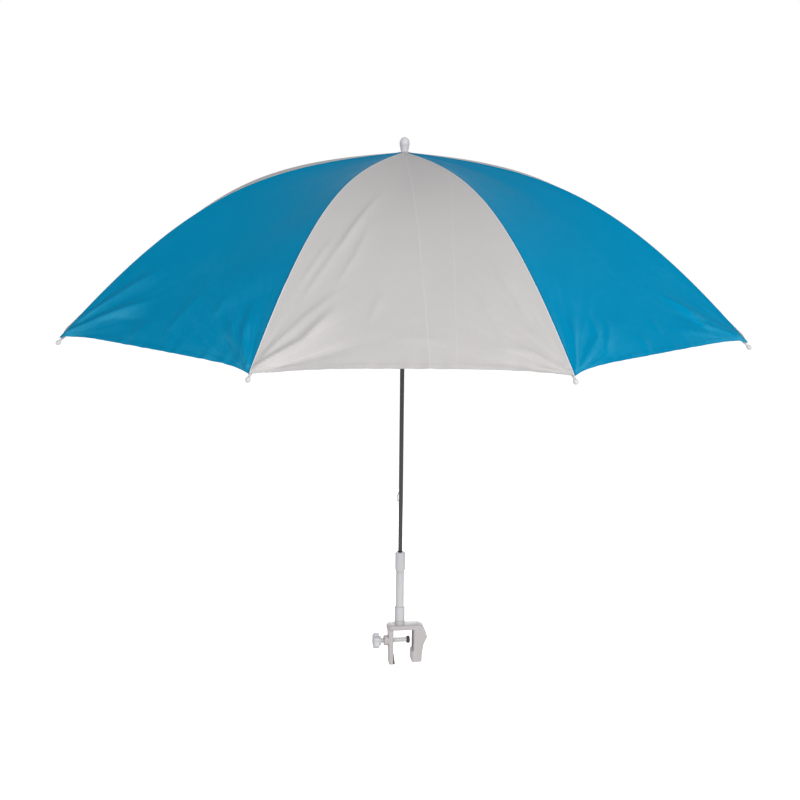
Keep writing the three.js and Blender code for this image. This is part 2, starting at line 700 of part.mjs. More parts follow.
function buildClamp() {
  place('clamp_body', clampSolid(), whitePlastic);
  place('clamp_grip_strip', gripStripSolid(), darkRubber);
  const padFar = padNear + padThick;
  const padBody = rodAlongX(padNear, padFar, padRadius, -screwDrop, roundSides);
  const tipEnd = padNear + screwTipLength;
  const padSocket = rodAlongX(padNear - overrun, tipEnd + gap, screwTipRadius + gap, -screwDrop);
  place('clamp_pressure_pad', padBody.subtract(padSocket), darkRubber);
  const knobFar = leftArmOuter - screwBossLength - knobGap - knobCollarLength;
  const screwEnd = knobFar + knobCollarLength - knobBore;
  const screwTip = rodAlongX(padNear - 2 * gap, tipEnd, screwTipRadius, -screwDrop);
  const screw = rodAlongX(screwEnd, padNear - gap, screwRadius, -screwDrop, roundSides).add(screwTip);
  place('clamp_screw', screw, whitePlastic);
  place('clamp_knob', knobSolid(knobFar - knobThick, knobFar, screwEnd), whitePlastic);
}

buildCanopy();
buildNotch();
buildCrown();
buildShaft();
buildRunner();
buildNeck();
buildClamp();

export default parasol;
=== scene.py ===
import math

import bpy
import numpy as np
from mathutils import Matrix, Vector


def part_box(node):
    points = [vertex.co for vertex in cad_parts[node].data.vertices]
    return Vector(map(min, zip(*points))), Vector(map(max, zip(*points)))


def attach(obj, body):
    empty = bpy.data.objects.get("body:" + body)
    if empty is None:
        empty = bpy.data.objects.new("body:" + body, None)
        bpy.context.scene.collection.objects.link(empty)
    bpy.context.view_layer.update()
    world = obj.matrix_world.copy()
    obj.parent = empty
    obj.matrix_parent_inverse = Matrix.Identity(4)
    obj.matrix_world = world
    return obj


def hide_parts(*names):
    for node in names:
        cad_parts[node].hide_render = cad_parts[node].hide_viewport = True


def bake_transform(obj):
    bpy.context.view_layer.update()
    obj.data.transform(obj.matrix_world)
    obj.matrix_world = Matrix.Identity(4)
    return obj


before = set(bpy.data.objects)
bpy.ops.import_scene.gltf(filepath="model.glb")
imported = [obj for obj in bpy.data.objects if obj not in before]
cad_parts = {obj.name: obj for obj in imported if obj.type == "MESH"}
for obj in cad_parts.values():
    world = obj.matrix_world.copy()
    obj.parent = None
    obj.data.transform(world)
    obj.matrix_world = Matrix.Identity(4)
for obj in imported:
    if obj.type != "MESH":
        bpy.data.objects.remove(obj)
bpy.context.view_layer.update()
mm = 0.001
samePoint = 0.000001
print("frame loaded")


# Tools for modelling by hand
def clearSelection():
    if bpy.context.mode != "OBJECT":
        bpy.ops.object.mode_set(mode="OBJECT")
    bpy.ops.object.select_all(action="DESELECT")


def makeActive(piece):
    clearSelection()
    piece.select_set(True)
    bpy.context.view_layer.objects.active = piece


def namePiece(name):
    piece = bpy.context.object
    piece.name = name
    piece.data.name = name
    return piece


def startPoint(name, point):
    clearSelection()
    bpy.ops.mesh.primitive_plane_add(size=1, location=(0, 0, 0))
    piece = namePiece(name)
    bpy.ops.object.mode_set(mode="EDIT")
    bpy.ops.mesh.select_all(action="SELECT")
    bpy.ops.mesh.merge(type="CENTER")
    bpy.ops.transform.translate(value=point)
    return piece


def traceLine(name, points, closed=False):
    points = [Vector(p) for p in points]
    piece = startPoint(name, points[0])
    steps = points[1:] + ([points[0]] if closed else [])
    for before, after in zip(points, steps):
        bpy.ops.mesh.extrude_vertices_move(TRANSFORM_OT_translate={"value": after - before})
    mergePoints()
    return piece


def mergePoints():
    bpy.ops.mesh.select_all(action="SELECT")
    bpy.ops.mesh.remove_doubles(threshold=samePoint)


def closeMesh():
    mergePoints()
    bpy.ops.mesh.normals_make_consistent(inside=False)
    bpy.ops.object.mode_set(mode="OBJECT")


# A traced outline becomes a face and is drawn out into a closed body
def drawOut(move):
    bpy.ops.mesh.edge_face_add()
    bpy.ops.mesh.extrude_region_move(TRANSFORM_OT_translate={"value": move})
    closeMesh()


# A traced line is turned once round the Z axis
def spinRound(steps):
    bpy.ops.mesh.spin(steps=steps, angle=2 * math.pi, center=(0, 0, 0), axis=(0, 0, 1))
    closeMesh()


def applyAll(piece):
    makeActive(piece)
    for modifier in list(piece.modifiers):
        bpy.ops.object.modifier_apply(modifier=modifier.name)


def softenEdges(piece, width, segments=2, angle=32):
    makeActive(piece)
    bevel = piece.modifiers.new("softEdge", "BEVEL")
    bevel.width = width
    bevel.segments = segments
    bevel.limit_method = "ANGLE"
    bevel.angle_limit = math.radians(angle)
    bevel.use_clamp_overlap = True
    applyAll(piece)


def shade(piece, angle=40):
    makeActive(piece)
    bpy.ops.object.shade_smooth_by_angle(angle=math.radians(angle))


# Turned piece from a profile of (radius, height) in millimetres
def turnPiece(name, profile, steps=64, closed=True, edge=0.3):
    piece = traceLine(name, [(radius * mm, 0, height * mm) for radius, height in profile], closed)
    spinRound(steps)
    if edge:
        softenEdges(piece, edge * mm)
    shade(piece)
    return piece


# A turned piece laid along X at a height
def layAlongX(piece, height):
    turnAbout(piece, 90, "Y")
    piece.location.z = height * mm
    settle(piece)


# Place of a solid in millimetres, as its lowest and highest corners
def nodeBox(name):
    low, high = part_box(name)
    return Vector(low) / mm, Vector(high) / mm


# Outline with round ends between two points
def lobeOutline(first, second, radius, steps=12):
    heading = math.atan2(second[1] - first[1], second[0] - first[0])
    outline = []
    for (x, z), start in ((second, heading - math.pi / 2), (first, heading + math.pi / 2)):
        for n in range(steps + 1):
            angle = start + math.pi * n / steps
            outline.append((x + radius * math.cos(angle), z + radius * math.sin(angle)))
    return outline


# Flat piece from an outline of (x, z) in millimetres, between two y values
def cutPlate(name, outline, front, back, edge=0.3, segments=2, angle=32):
    piece = traceLine(name, [(x * mm, front * mm, z * mm) for x, z in outline], True)
    drawOut((0, (back - front) * mm, 0))
    if edge:
        softenEdges(piece, edge * mm, segments, angle)
    shade(piece)
    return piece


def addRod(name, radius, start, end, sides=24, edge=0.0):
    start, end = Vector(start) * mm, Vector(end) * mm
    clearSelection()
    bpy.ops.mesh.primitive_cylinder_add(vertices=sides, radius=radius * mm, depth=(end - start).length,
                                        end_fill_type="NGON", location=(start + end) / 2)
    piece = namePiece(name)
    piece.rotation_mode = "QUATERNION"
    piece.rotation_quaternion = (end - start).to_track_quat("Z", "Y")
    settle(piece)
    if edge:
        softenEdges(piece, edge * mm)
    shade(piece)
    return piece


def addBox(name, low, high):
    low, high = Vector(low) * mm, Vector(high) * mm
    clearSelection()
    bpy.ops.mesh.primitive_cube_add(size=1, location=(low + high) / 2)
    piece = namePiece(name)
    piece.scale = high - low
    settle(piece)
    return piece


# The object goes back to the origin, and its place goes into its mesh
def settle(piece):
    makeActive(piece)
    bpy.ops.object.transform_apply(location=True, rotation=True, scale=True)


def turnAbout(piece, degrees, axis="Z"):
    piece.matrix_world = Matrix.Rotation(math.radians(degrees), 4, axis) @ piece.matrix_world
    settle(piece)


def copyPiece(piece, name, degrees):
    makeActive(piece)
    bpy.ops.object.duplicate(linked=False)
    twin = namePiece(name)
    turnAbout(twin, degrees)
    return twin


def combine(piece, other, how):
    makeActive(piece)
    boolean = piece.modifiers.new(how.lower(), "BOOLEAN")
    boolean.operation = how
    boolean.object = other
    boolean.solver = "EXACT"
    applyAll(piece)
    bpy.data.objects.remove(other)


def drill(piece, radius, start, end, sides=28):
    combine(piece, addRod("drill", radius, start, end, sides), "DIFFERENCE")


# Hole along Y at an (x, z) place
def drillAcross(piece, radius, place, half=3, sides=28):
    drill(piece, radius, (place[0], -half, place[1]), (place[0], half, place[1]), sides)


# The same cutter at every rib, as one cutter
def cutAtRibs(piece, low, high):
    first = addBox("slotCutter", low, high)
    turnAbout(first, ribTurn(0))
    step = 2 * halfGore
    twins = [copyPiece(first, f"slotCutter_{n}", step * n) for n in range(1, bow["count"])]
    combine(piece, weldPieces([first, *twins]), "DIFFERENCE")


def weldPieces(pieces):
    clearSelection()
    for piece in pieces:
        piece.select_set(True)
    bpy.context.view_layer.objects.active = pieces[0]
    bpy.ops.object.join()
    return pieces[0]


def dress(piece, material, body, node):
    piece.data.materials.clear()
    piece.data.materials.append(material)
    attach(piece, body)
    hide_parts(node)


# Each named input is linked to another node's output or set to a value
def feed(tree, node, values):
    for label, value in values.items():
        socket = node.inputs[label]
        if isinstance(value, bpy.types.NodeSocket):
            tree.links.new(value, socket)
        elif value is not None:
            socket.default_value = (*value, 1) if socket.type == "RGBA" else value


def addNode(tree, kind, values, **settings):
    node = tree.nodes.new("ShaderNode" + kind)
    for label, value in settings.items():
        setattr(node, label, value)
    feed(tree, node, values)
    return node


def addMath(tree, operation, first, second=None, clamp=False):
    return addNode(tree, "Math", {0: first, 1: second}, operation=operation, use_clamp=clamp).outputs[0]


def plus(tree, first, second, clamp=False):
    return addMath(tree, "ADD", first, second, clamp)


def minus(tree, first, second, clamp=False):
    return addMath(tree, "SUBTRACT", first, second, clamp)


def times(tree, first, second, clamp=False):
    return addMath(tree, "MULTIPLY", first, second, clamp)


def addNoise(tree, vector, scale, detail, roughness=0.5):
    values = {"Vector": vector, "Scale": scale, "Detail": detail, "Roughness": roughness}
    return addNode(tree, "TexNoise", values).outputs["Fac"]


def addMix(tree, factor, first, second):
    return addNode(tree, "Mix", {0: factor, 6: first, 7: second}, data_type="RGBA").outputs[2]


def addBump(tree, height, strength, distance):
    return addNode(tree, "Bump", {"Height": height, "Strength": strength, "Distance": distance}).outputs["Normal"]


def splitVector(tree, vector):
    return addNode(tree, "SeparateXYZ", {0: vector}).outputs


# Shader effects that several finishes share
def newGroup(name, inputs, outputs):
    group = bpy.data.node_groups.new(name, "ShaderNodeTree")
    for label, (kind, value) in inputs.items():
        socket = group.interface.new_socket(label, in_out="INPUT", socket_type="NodeSocket" + kind)
        socket.default_value = value
    for label, kind in outputs.items():
        group.interface.new_socket(label, in_out="OUTPUT", socket_type="NodeSocket" + kind)
    return group, group.nodes.new("NodeGroupInput").outputs, group.nodes.new("NodeGroupOutput")


def makeGrain():
    inputs = {"Position": ("Vector", (0, 0, 0)), "Colour": ("Color", (1, 1, 1, 1)), "Dust": ("Color", (1, 1, 1, 1)),
              "Grain Size": ("Float", 900.0), "Patch Size": ("Float", 30.0), "Amount": ("Float", 0.15)}
    outputs = {"Colour": "Color", "Gloss Change": "Float", "Height": "Float"}
    group, given, end = newGroup("surfaceGrain", inputs, outputs)
    fine = addNoise(group, given["Position"], given["Grain Size"], 3.0)
    patch = addNoise(group, given["Position"], given["Patch Size"], 4.0)
    mask = times(group, minus(group, patch, 0.42, True), times(group, given["Amount"], 4.0), True)
    feed(group, end, {"Colour": addMix(group, mask, given["Colour"], given["Dust"]), "Height": fine,
                      "Gloss Change": times(group, minus(group, patch, 0.5), given["Amount"])})
    return group


def makeEdgeWear():
    inputs = {"Pointiness": ("Float", 0.5), "Position": ("Vector", (0, 0, 0)), "Amount": ("Float", 0.5)}
    group, given, end = newGroup("edgeWear", inputs, {"Mask": "Float"})
    rise = times(group, minus(group, given["Pointiness"], 0.52), 9.0, True)
    breakup = addNoise(group, given["Position"], 260.0, 4.0, 0.6)
    feed(group, end, {"Mask": times(group, rise, times(group, breakup, given["Amount"]), True)})
    return group


# Plain weave, uneven threads and slow clouds, from the cloth's own map in metres
def makeWeave():
    inputs = {"Map": ("Vector", (0, 0, 0)), "Threads": ("Float", 14000.0)}
    outputs = {"Height": "Float", "Shade": "Float", "Cloud": "Float"}
    group, given, end = newGroup("plainWeave", inputs, outputs)
    parts = splitVector(group, given["Map"])
    waves = [addMath(group, "SINE", times(group, parts[axis], given["Threads"])) for axis in ("X", "Y")]
    slub = addNode(group, "Mapping", {"Vector": given["Map"], "Scale": (1.0, 0.06, 1.0)}).outputs["Vector"]
    feed(group, end, {"Height": plus(group, times(group, times(group, *waves), 0.5), 0.5),
                      "Shade": addNoise(group, slub, 1600.0, 2.0, 0.6),
                      "Cloud": addNoise(group, given["Map"], 14.0, 3.0)})
    return group


# Fine creases that run out from both lower corners of a gore, where its cloth is tied to the ribs
def makeCornerCreases():
    inputs = {"Map": ("Vector", (0, 0, 0)), "Seed": ("Float", 0.0), "Corner": ("Vector", (0.19, 0.56, 0)),
              "Reach": ("Float", 0.1)}
    group, given, end = newGroup("cornerCreases", inputs, {"Height": "Float"})
    heights = []
    for side in (-1, 1):
        mirrored = addNode(group, "VectorMath", {0: given["Map"], 1: (side, 1, 0)}, operation="MULTIPLY")
        offset = addNode(group, "VectorMath", {0: given["Corner"], 1: mirrored.outputs[0]}, operation="SUBTRACT")
        length = addNode(group, "VectorMath", {0: offset.outputs[0]}, operation="LENGTH")
        distance = length.outputs["Value"]
        parts = splitVector(group, offset.outputs[0])
        angle = addMath(group, "ARCTAN2", parts["X"], parts["Y"])
        spot = addNode(group, "CombineXYZ", {"X": times(group, angle, 9.0), "Y": times(group, distance, 7.0),
                                             "Z": plus(group, given["Seed"], side * 3.7)})
        streak = addNoise(group, spot.outputs[0], 1.0, 1.5, 0.55)
        crest = minus(group, 1.0, times(group, addMath(group, "ABSOLUTE", minus(group, streak, 0.5)), 9.0), True)
        far = addMath(group, "DIVIDE", distance, given["Reach"])
        fade = addMath(group, "EXPONENT", times(group, far, -1.0))
        close = times(group, far, 5.0, True)
        heights.append(times(group, crest, times(group, fade, close)))
    feed(group, end, {"Height": plus(group, *heights)})
    return group


grainGroup = makeGrain()
wearGroup = makeEdgeWear()
weaveGroup = makeWeave()
cornerGroup = makeCornerCreases()
print("shader groups made")


def startMaterial(name):
    material = bpy.data.materials.new(name)
    material.use_nodes = True
    tree = material.node_tree
    return material, tree, tree.nodes["Principled BSDF"]


# Plastic, metal or rubber with grain, worn edges and patches of dust or dirt
def makeFinish(name, colour, dust, worn, roughness, metallic=0.0, grain=900.0, patch=30.0, amount=0.15,
               bump=0.05, wear=0.3, coat=0.0, streak=None):
    material, tree, shader = startMaterial(name)
    place = addNode(tree, "TexCoord", {}).outputs["Object"]
    if streak:
        place = addNode(tree, "Mapping", {"Vector": place, "Scale": streak}).outputs["Vector"]
    grained = addNode(tree, "Group", {"Position": place, "Colour": colour, "Dust": dust, "Grain Size": grain,
                                      "Patch Size": patch, "Amount": amount}, node_tree=grainGroup).outputs
    pointiness = addNode(tree, "NewGeometry", {}).outputs["Pointiness"]
    edges = addNode(tree, "Group", {"Pointiness": pointiness, "Position": place, "Amount": wear},
                    node_tree=wearGroup).outputs["Mask"]
    feed(tree, shader, {"Base Color": addMix(tree, edges, grained["Colour"], worn),
                        "Roughness": plus(tree, grained["Gloss Change"], roughness, True),
                        "Metallic": metallic, "Coat Weight": coat, "Coat Roughness": 0.2,
                        "Normal": addBump(tree, grained["Height"], bump, 0.0004)})
    return material


mouldedGrain = {"grain": 1400.0, "patch": 22.0, "amount": 0.12, "bump": 0.06, "wear": 0.25}
whitePlastic = makeFinish("whitePlastic", (0.64, 0.622, 0.64), (0.57, 0.55, 0.54), (0.72, 0.71, 0.72), 0.4,
                          **mouldedGrain)
warmPlastic = makeFinish("warmPlastic", (0.55, 0.51, 0.505), (0.48, 0.445, 0.43), (0.64, 0.61, 0.6), 0.45,
                         **mouldedGrain)
darkSteel = makeFinish("darkSteel", (0.034, 0.028, 0.026), (0.06, 0.052, 0.048), (0.2, 0.18, 0.17), 0.42,
                       metallic=0.2, grain=700.0, patch=40.0, amount=0.3, bump=0.04, wear=0.5, coat=0.05,
                       streak=(1, 1, 0.15))
zincSteel = makeFinish("zincSteel", (0.52, 0.53, 0.54), (0.4, 0.4, 0.4), (0.7, 0.7, 0.7), 0.32, metallic=0.95,
                       grain=900.0, patch=60.0, amount=0.3, bump=0.05, wear=0.4)
springSteel = makeFinish("springSteel", (0.17, 0.155, 0.145), (0.12, 0.105, 0.095), (0.4, 0.38, 0.36), 0.34,
                         metallic=0.8, grain=900.0, patch=80.0, amount=0.3, bump=0.04, wear=0.6)
darkRubber = makeFinish("darkRubber", (0.04, 0.033, 0.031), (0.085, 0.078, 0.073), (0.11, 0.1, 0.095), 0.72,
                        grain=1800.0, patch=70.0, amount=0.3, bump=0.25, wear=0.4)


# Ribs and cloth, from the same sizes as the solids
bow = {
    "count": 8,
    "turn": -7.7,
    "hinge": (8.0, 707.829),
    "reach": 500.0,
    "drop": 244.5,
    "bend": 40.6,
    "peakShare": 0.42,
    "endShare": 0.1,
    "earAlong": 231.5,
    "earDrop": 4.2,
    "wireRadius": 1.2,
}
halfGore = 180 / bow["count"]


# Cloth finish: weave, stitches along seam and hem, the lines where the cloth was folded for packing with a painted
# highlight along them, and a painted highlight on the corner creases
cloth = {
    "threadsPerMetre": 14000.0,
    "sheenRoughness": 0.2,
    "stitchFromHem": 7.0,
    "stitchFromSeam": 2.6,
    "stitchPeriod": 2.6,
    "stitchHalfWidth": 0.4,
    "stitchShare": 0.72,
    "stitchShade": 0.35,
    "rollWidth": 0.9,
    "rollReach": 1.6,
    "hemShade": 0.1,
    "creaseStarts": (-2.0, 57.0),
    "creaseSlopes": (0.042, -0.008),
    "creaseHalfWidth": 1.1,
    "creaseStrengths": (0.6, 0.3),
    "cornerAlong": 562.0,
    "cornerReach": 95.0,
    "cornerHighlight": 0.2,
    "cornerRise": 3.0,
    "threadStreak": 0.5,
    "cloudShade": 0.25,
    "threadGloss": 0.08,
    "weaveRise": 0.2,
    "bumpStrength": 0.4,
    "bumpDistance": 0.0003,
}


def addCrease(tree, across, along, start, slope, strength):
    middle = plus(tree, times(tree, along, slope), start * mm)
    offset = addMath(tree, "ABSOLUTE", minus(tree, across, middle))
    fall = times(tree, offset, 1 / (cloth["creaseHalfWidth"] * mm))
    return times(tree, minus(tree, 1.0, fall, True), strength)


# Stitches in a line beside the hem or a seam
def addStitches(tree, distance, run, fromEdge):
    offset = addMath(tree, "ABSOLUTE", minus(tree, distance, fromEdge * mm))
    band = addMath(tree, "LESS_THAN", offset, cloth["stitchHalfWidth"] * mm)
    step = addMath(tree, "FRACT", times(tree, run, 1 / (cloth["stitchPeriod"] * mm)))
    return times(tree, band, addMath(tree, "LESS_THAN", step, cloth["stitchShare"]))


def makeCloth(name, colour, darkToneAndShadeColour, lightToneAndHighlightColour, threadColour, creaseHighlightColour, seamEdgeColour, roughness, gloss, sheen):
    material, tree, shader = startMaterial(name)
    surface = addNode(tree, "UVMap", {}, uv_map="clothMap").outputs["UV"]
    weave = addNode(tree, "Group", {"Map": surface, "Threads": cloth["threadsPerMetre"]},
                    node_tree=weaveGroup).outputs
    fromHem, fromSeam, foldShade, seed = [addNode(tree, "Attribute", {}, attribute_name=label).outputs["Fac"]
                                          for label in ("fromHem", "fromSeam", "foldShade", "seed")]
    parts = splitVector(tree, surface)
    across, along = parts["X"], parts["Y"]
    stitch = addMath(tree, "MAXIMUM", addStitches(tree, fromHem, across, cloth["stitchFromHem"]),
                     addStitches(tree, fromSeam, along, cloth["stitchFromSeam"]))
    creases = [addCrease(tree, across, along, *values) for values in
               zip(cloth["creaseStarts"], cloth["creaseSlopes"], cloth["creaseStrengths"])]
    patchy = times(tree, minus(tree, weave["Cloud"], 0.25), 3.2, True)
    crease = times(tree, addMath(tree, "MAXIMUM", *creases), patchy)
    corner = (bow["reach"] * mm * math.sin(math.radians(halfGore)), cloth["cornerAlong"] * mm, 0)
    corners = addNode(tree, "Group", {"Map": surface, "Seed": seed, "Corner": corner,
                                      "Reach": cloth["cornerReach"] * mm}, node_tree=cornerGroup).outputs["Height"]
    streak = times(tree, minus(tree, weave["Shade"], 0.5), cloth["threadStreak"])
    cloud = times(tree, minus(tree, weave["Cloud"], 0.5), cloth["cloudShade"])
    hem = times(tree, addMath(tree, "LESS_THAN", fromHem, cloth["stitchFromHem"] * mm), cloth["hemShade"])
    # Painted shade and highlight: random tone from the threads and clouds, the folds' painted shade and highlight
    # from the foldShade attribute and the corner creases' painted highlight are summed, then darken the colour
    # towards the painted shade colour and lighten it towards the painted highlight colour
    depth = plus(tree, plus(tree, streak, cloud), foldShade)
    # The corner creases also lighten the colour along their ridges, as a painted highlight
    depth = minus(tree, depth, times(tree, corners, cloth["cornerHighlight"]))
    dark = addMix(tree, plus(tree, depth, hem, True), colour, darkToneAndShadeColour)
    shaded = addMix(tree, times(tree, depth, -1.0, True), dark, lightToneAndHighlightColour)
    # Painted highlight: the packing creases are lightened along their lines
    creaseHighlighted = addMix(tree, crease, shaded, creaseHighlightColour)
    thread = addMix(tree, times(tree, stitch, cloth["stitchShade"]), creaseHighlighted, threadColour)
    # Within about a millimetre of a seam the colour goes to the seam edge colour: lighter on the white cloth, a
    # painted highlight on the seam's rolled edge, and darker on the blue cloth
    seamEdgeShare = minus(tree, cloth["rollReach"], times(tree, fromSeam, 1 / (cloth["rollWidth"] * mm)), True)
    rough = plus(tree, roughness, times(tree, weave["Shade"], cloth["threadGloss"]), True)
    raised = plus(tree, times(tree, weave["Height"], cloth["weaveRise"]), plus(tree, stitch, crease))
    raised = plus(tree, raised, times(tree, corners, cloth["cornerRise"]))
    feed(tree, shader, {"Base Color": addMix(tree, seamEdgeShare, thread, seamEdgeColour), "Roughness": rough,
                        "Specular IOR Level": gloss, "Sheen Weight": sheen,
                        "Sheen Roughness": cloth["sheenRoughness"],
                        "Normal": addBump(tree, raised, cloth["bumpStrength"], cloth["bumpDistance"])})
    return material


whiteCloth = makeCloth("whiteCloth", (0.52, 0.503, 0.499), (0.42, 0.405, 0.4), (0.67, 0.65, 0.64),
                       (0.49, 0.475, 0.47), (0.61, 0.6, 0.6), (0.63, 0.64, 0.65), 0.5, 0.1, 0.04)
blueCloth = makeCloth("blueCloth", (0.0, 0.25, 0.465), (0.0, 0.16, 0.33), (0.07, 0.44, 0.64),
                      (0.0, 0.17, 0.33), (0.0, 0.275, 0.5), (0.0, 0.17, 0.33), 0.35, 0.008, 0.03)
print("finishes made")


# Camera where the photograph was taken from, and a pale studio
studio = {
    "distance": 2.2575,
    "height": 0.7845,
    "pitch": 10.886,
    "pan": 0.477,
    "lens": 70.335,
    "sensor": 36,
    "clip": (0.05, 50),
    "clampTurn": 9.197,
    "shift": (-14.65 / 800, 1.02 / 800),
    "roll": 0.7,
    "floorHeight": -0.5,
    "floorSize": 14,
    "floorColour": (0.86, 0.86, 0.86),
    "floorGlow": 0.78,
    "world": 0.31,
    "worldColour": (0.97, 0.985, 1.0),
    "aimHeight": 0.5,
    "key": {"place": (0.75, -2.6, 1.75), "size": 1.2, "energy": 54.0},
    "fill": {"place": (-1.9, -2.2, 1.3), "size": 1.6, "energy": 19.5},
    "back": {"place": (0.4, 2.7, 0.35), "size": 1.2, "energy": 20.0},
}


def makeCamera():
    camera = bpy.data.cameras.new("camera")
    cameraObject = bpy.data.objects.new("camera", camera)
    bpy.context.scene.collection.objects.link(cameraObject)
    camera.lens = studio["lens"]
    camera.sensor_width = studio["sensor"]
    camera.shift_x, camera.shift_y = studio["shift"]
    camera.clip_start, camera.clip_end = studio["clip"]
    turn = math.radians(-studio["clampTurn"])
    direction = Vector((math.sin(turn), -math.cos(turn), 0))
    place = direction * studio["distance"] + Vector((0, 0, studio["height"]))
    heading = turn - math.radians(studio["pan"])
    rest = Matrix.Rotation(heading, 4, "Z") @ Matrix.Rotation(math.radians(90 - studio["pitch"]), 4, "X")
    cameraObject.matrix_world = (Matrix.Translation(place) @ rest
                                 @ Matrix.Rotation(math.radians(studio["roll"]), 4, "Z"))
    bpy.context.scene.camera = cameraObject


# 1 where the camera sees a surface straight on, in a gloss or through another surface
def seenRays(tree):
    path = addNode(tree, "LightPath", {}).outputs
    return addMath(tree, "MAXIMUM", path["Is Camera Ray"],
                   addMath(tree, "MAXIMUM", path["Is Glossy Ray"], path["Is Transmission Ray"]))


def makeFloor():
    clearSelection()
    bpy.ops.mesh.primitive_plane_add(size=studio["floorSize"], location=(0, 0, studio["floorHeight"]))
    floor = namePiece("floor")
    settle(floor)
    paint, tree, shader = startMaterial("floorPaint")
    feed(tree, shader, {"Base Color": studio["floorColour"], "Roughness": 0.9, "Specular IOR Level": 0.1})
    strength = times(tree, seenRays(tree), studio["floorGlow"])
    glow = addNode(tree, "Emission", {"Color": (1, 1, 1), "Strength": strength})
    both = addNode(tree, "AddShader", {0: shader.outputs[0], 1: glow.outputs[0]})
    feed(tree, tree.nodes["Material Output"], {"Surface": both.outputs[0]})
    floor.data.materials.append(paint)


def makeWorld():
    world = bpy.data.worlds.new("studioWorld")
    world.use_nodes = True
    bpy.context.scene.world = world
    tree = world.node_tree
    tree.nodes.clear()
    soft = addNode(tree, "Background", {"Color": studio["worldColour"], "Strength": studio["world"]})
    white = addNode(tree, "Background", {"Color": (1, 1, 1), "Strength": 1.0})
    chosen = addNode(tree, "MixShader", {0: seenRays(tree), 1: soft.outputs[0], 2: white.outputs[0]})
    addNode(tree, "OutputWorld", {"Surface": chosen.outputs[0]})


def makeLamp(name, place, size, energy):
    lamp = bpy.data.lights.new(name, "AREA")
    lamp.size = size
    lamp.energy = energy
    lampObject = bpy.data.objects.new(name, lamp)
    bpy.context.scene.collection.objects.link(lampObject)
    lampObject.location = place
    aim = Vector((0, 0, studio["aimHeight"])) - Vector(place)
    lampObject.rotation_mode = "QUATERNION"
    lampObject.rotation_quaternion = aim.to_track_quat("-Z", "Y")


makeCamera()
makeFloor()
makeWorld()
for name in ("key", "fill", "back"):
    makeLamp(name + "Lamp", **studio[name])
bpy.context.scene.view_settings.view_transform = "Standard"
print("camera and studio made")


def bendTo(share):
    peak, low = bow["peakShare"], bow["endShare"]
    before = np.minimum(share, peak)
    after = share - before
    return (low * before + (1 - low) * before ** 2 / (2 * peak)
            + after - (1 - low) * after ** 2 / (2 * (1 - peak)))


def turnedBy(share):
    return math.radians(bow["bend"]) * bendTo(share) / bendTo(1.0)


# The rib bends most at the stretcher and hardly at its ends, so its line is added up from short steps
def layBow(steps=3000):
    shares = (np.arange(steps) + 0.5) / steps
    heading = -turnedBy(shares)
    chord = math.hypot(np.cos(heading).mean(), np.sin(heading).mean())
    length = math.hypot(bow["reach"] - bow["hinge"][0], bow["drop"]) / chord
    slope = (math.atan2(-bow["drop"], bow["reach"] - bow["hinge"][0])
             - math.atan2(np.sin(heading).mean(), np.cos(heading).mean()))
    x = np.concatenate([[0.0], np.cumsum(np.cos(heading + slope))]) * length / steps
    z = np.concatenate([[0.0], np.cumsum(np.sin(heading + slope))]) * length / steps
    return length, slope, np.linspace(0, length, steps + 1), x, z


bowLength, bowSlope, bowSpots, bowX, bowZ = layBow()
tipPlace = (bow["reach"], bow["hinge"][1] - bow["drop"])


def ribTurn(n):
    return bow["turn"] - halfGore + 2 * halfGore * n - 90


def bowHeading(along):
    return bowSlope - turnedBy(along / bowLength)


def bowPoint(along, lift=0.0):
    outward = bowHeading(along) + math.pi / 2
    past = np.minimum(along, 0)
    x = bow["hinge"][0] + np.interp(along, bowSpots, bowX) + past * math.cos(bowSlope)
    z = bow["hinge"][1] + np.interp(along, bowSpots, bowZ) + past * math.sin(bowSlope)
    return x + lift * np.cos(outward), z + lift * np.sin(outward)


gore = {
    "lift": 2.55,
    "thick": 0.6,
    "crownHole": 6.0,
    "shortOfTip": 5.8,
    "sag": 9.0,
    "hemArch": 9.0,
    "archPowers": (7.0, 3.6),
    "gatherDepth": 0.45,
    "gathers": 7,
    "columns": 116,
    "rows": 168,
    "hemWidth": 7.5,
    "hemStep": 0.15,
    "seamBand": 2.4,
    "seamStep": 0.35,
    "waveDepth": 1.0,
    "rippleDepth": 0.3,
    "crownShades": (0.5, 0.1),
    "crownShadeReach": 150.0,
    "foldSharpness": 1.4,
    "foldContrasts": (1.0, 1.1),
    "fallLight": 0.85,
    "sideLight": 0.45,
    "creaseRise": 0.5,
    "creaseWidth": 4.5,
    "overlapStart": 0.35,
    "edgeCrowding": 1.12,
    "hemRows": (1.25, 1.08, 1.0, 0.92, 0.6, 0.3, 0.1),
    "seamFade": 16.0,
    "crownFade": 90.0,
    "hemFade": 40.0,
    "cornerRipples": 4,
    "hemRipples": 5,
    "gatherStart": 16.0,
    "gatherReach": 26.0,
    "shadeLimits": (-0.5, 0.65),
    "softSide": 1.9,
    "pullScale": 1.25,
}

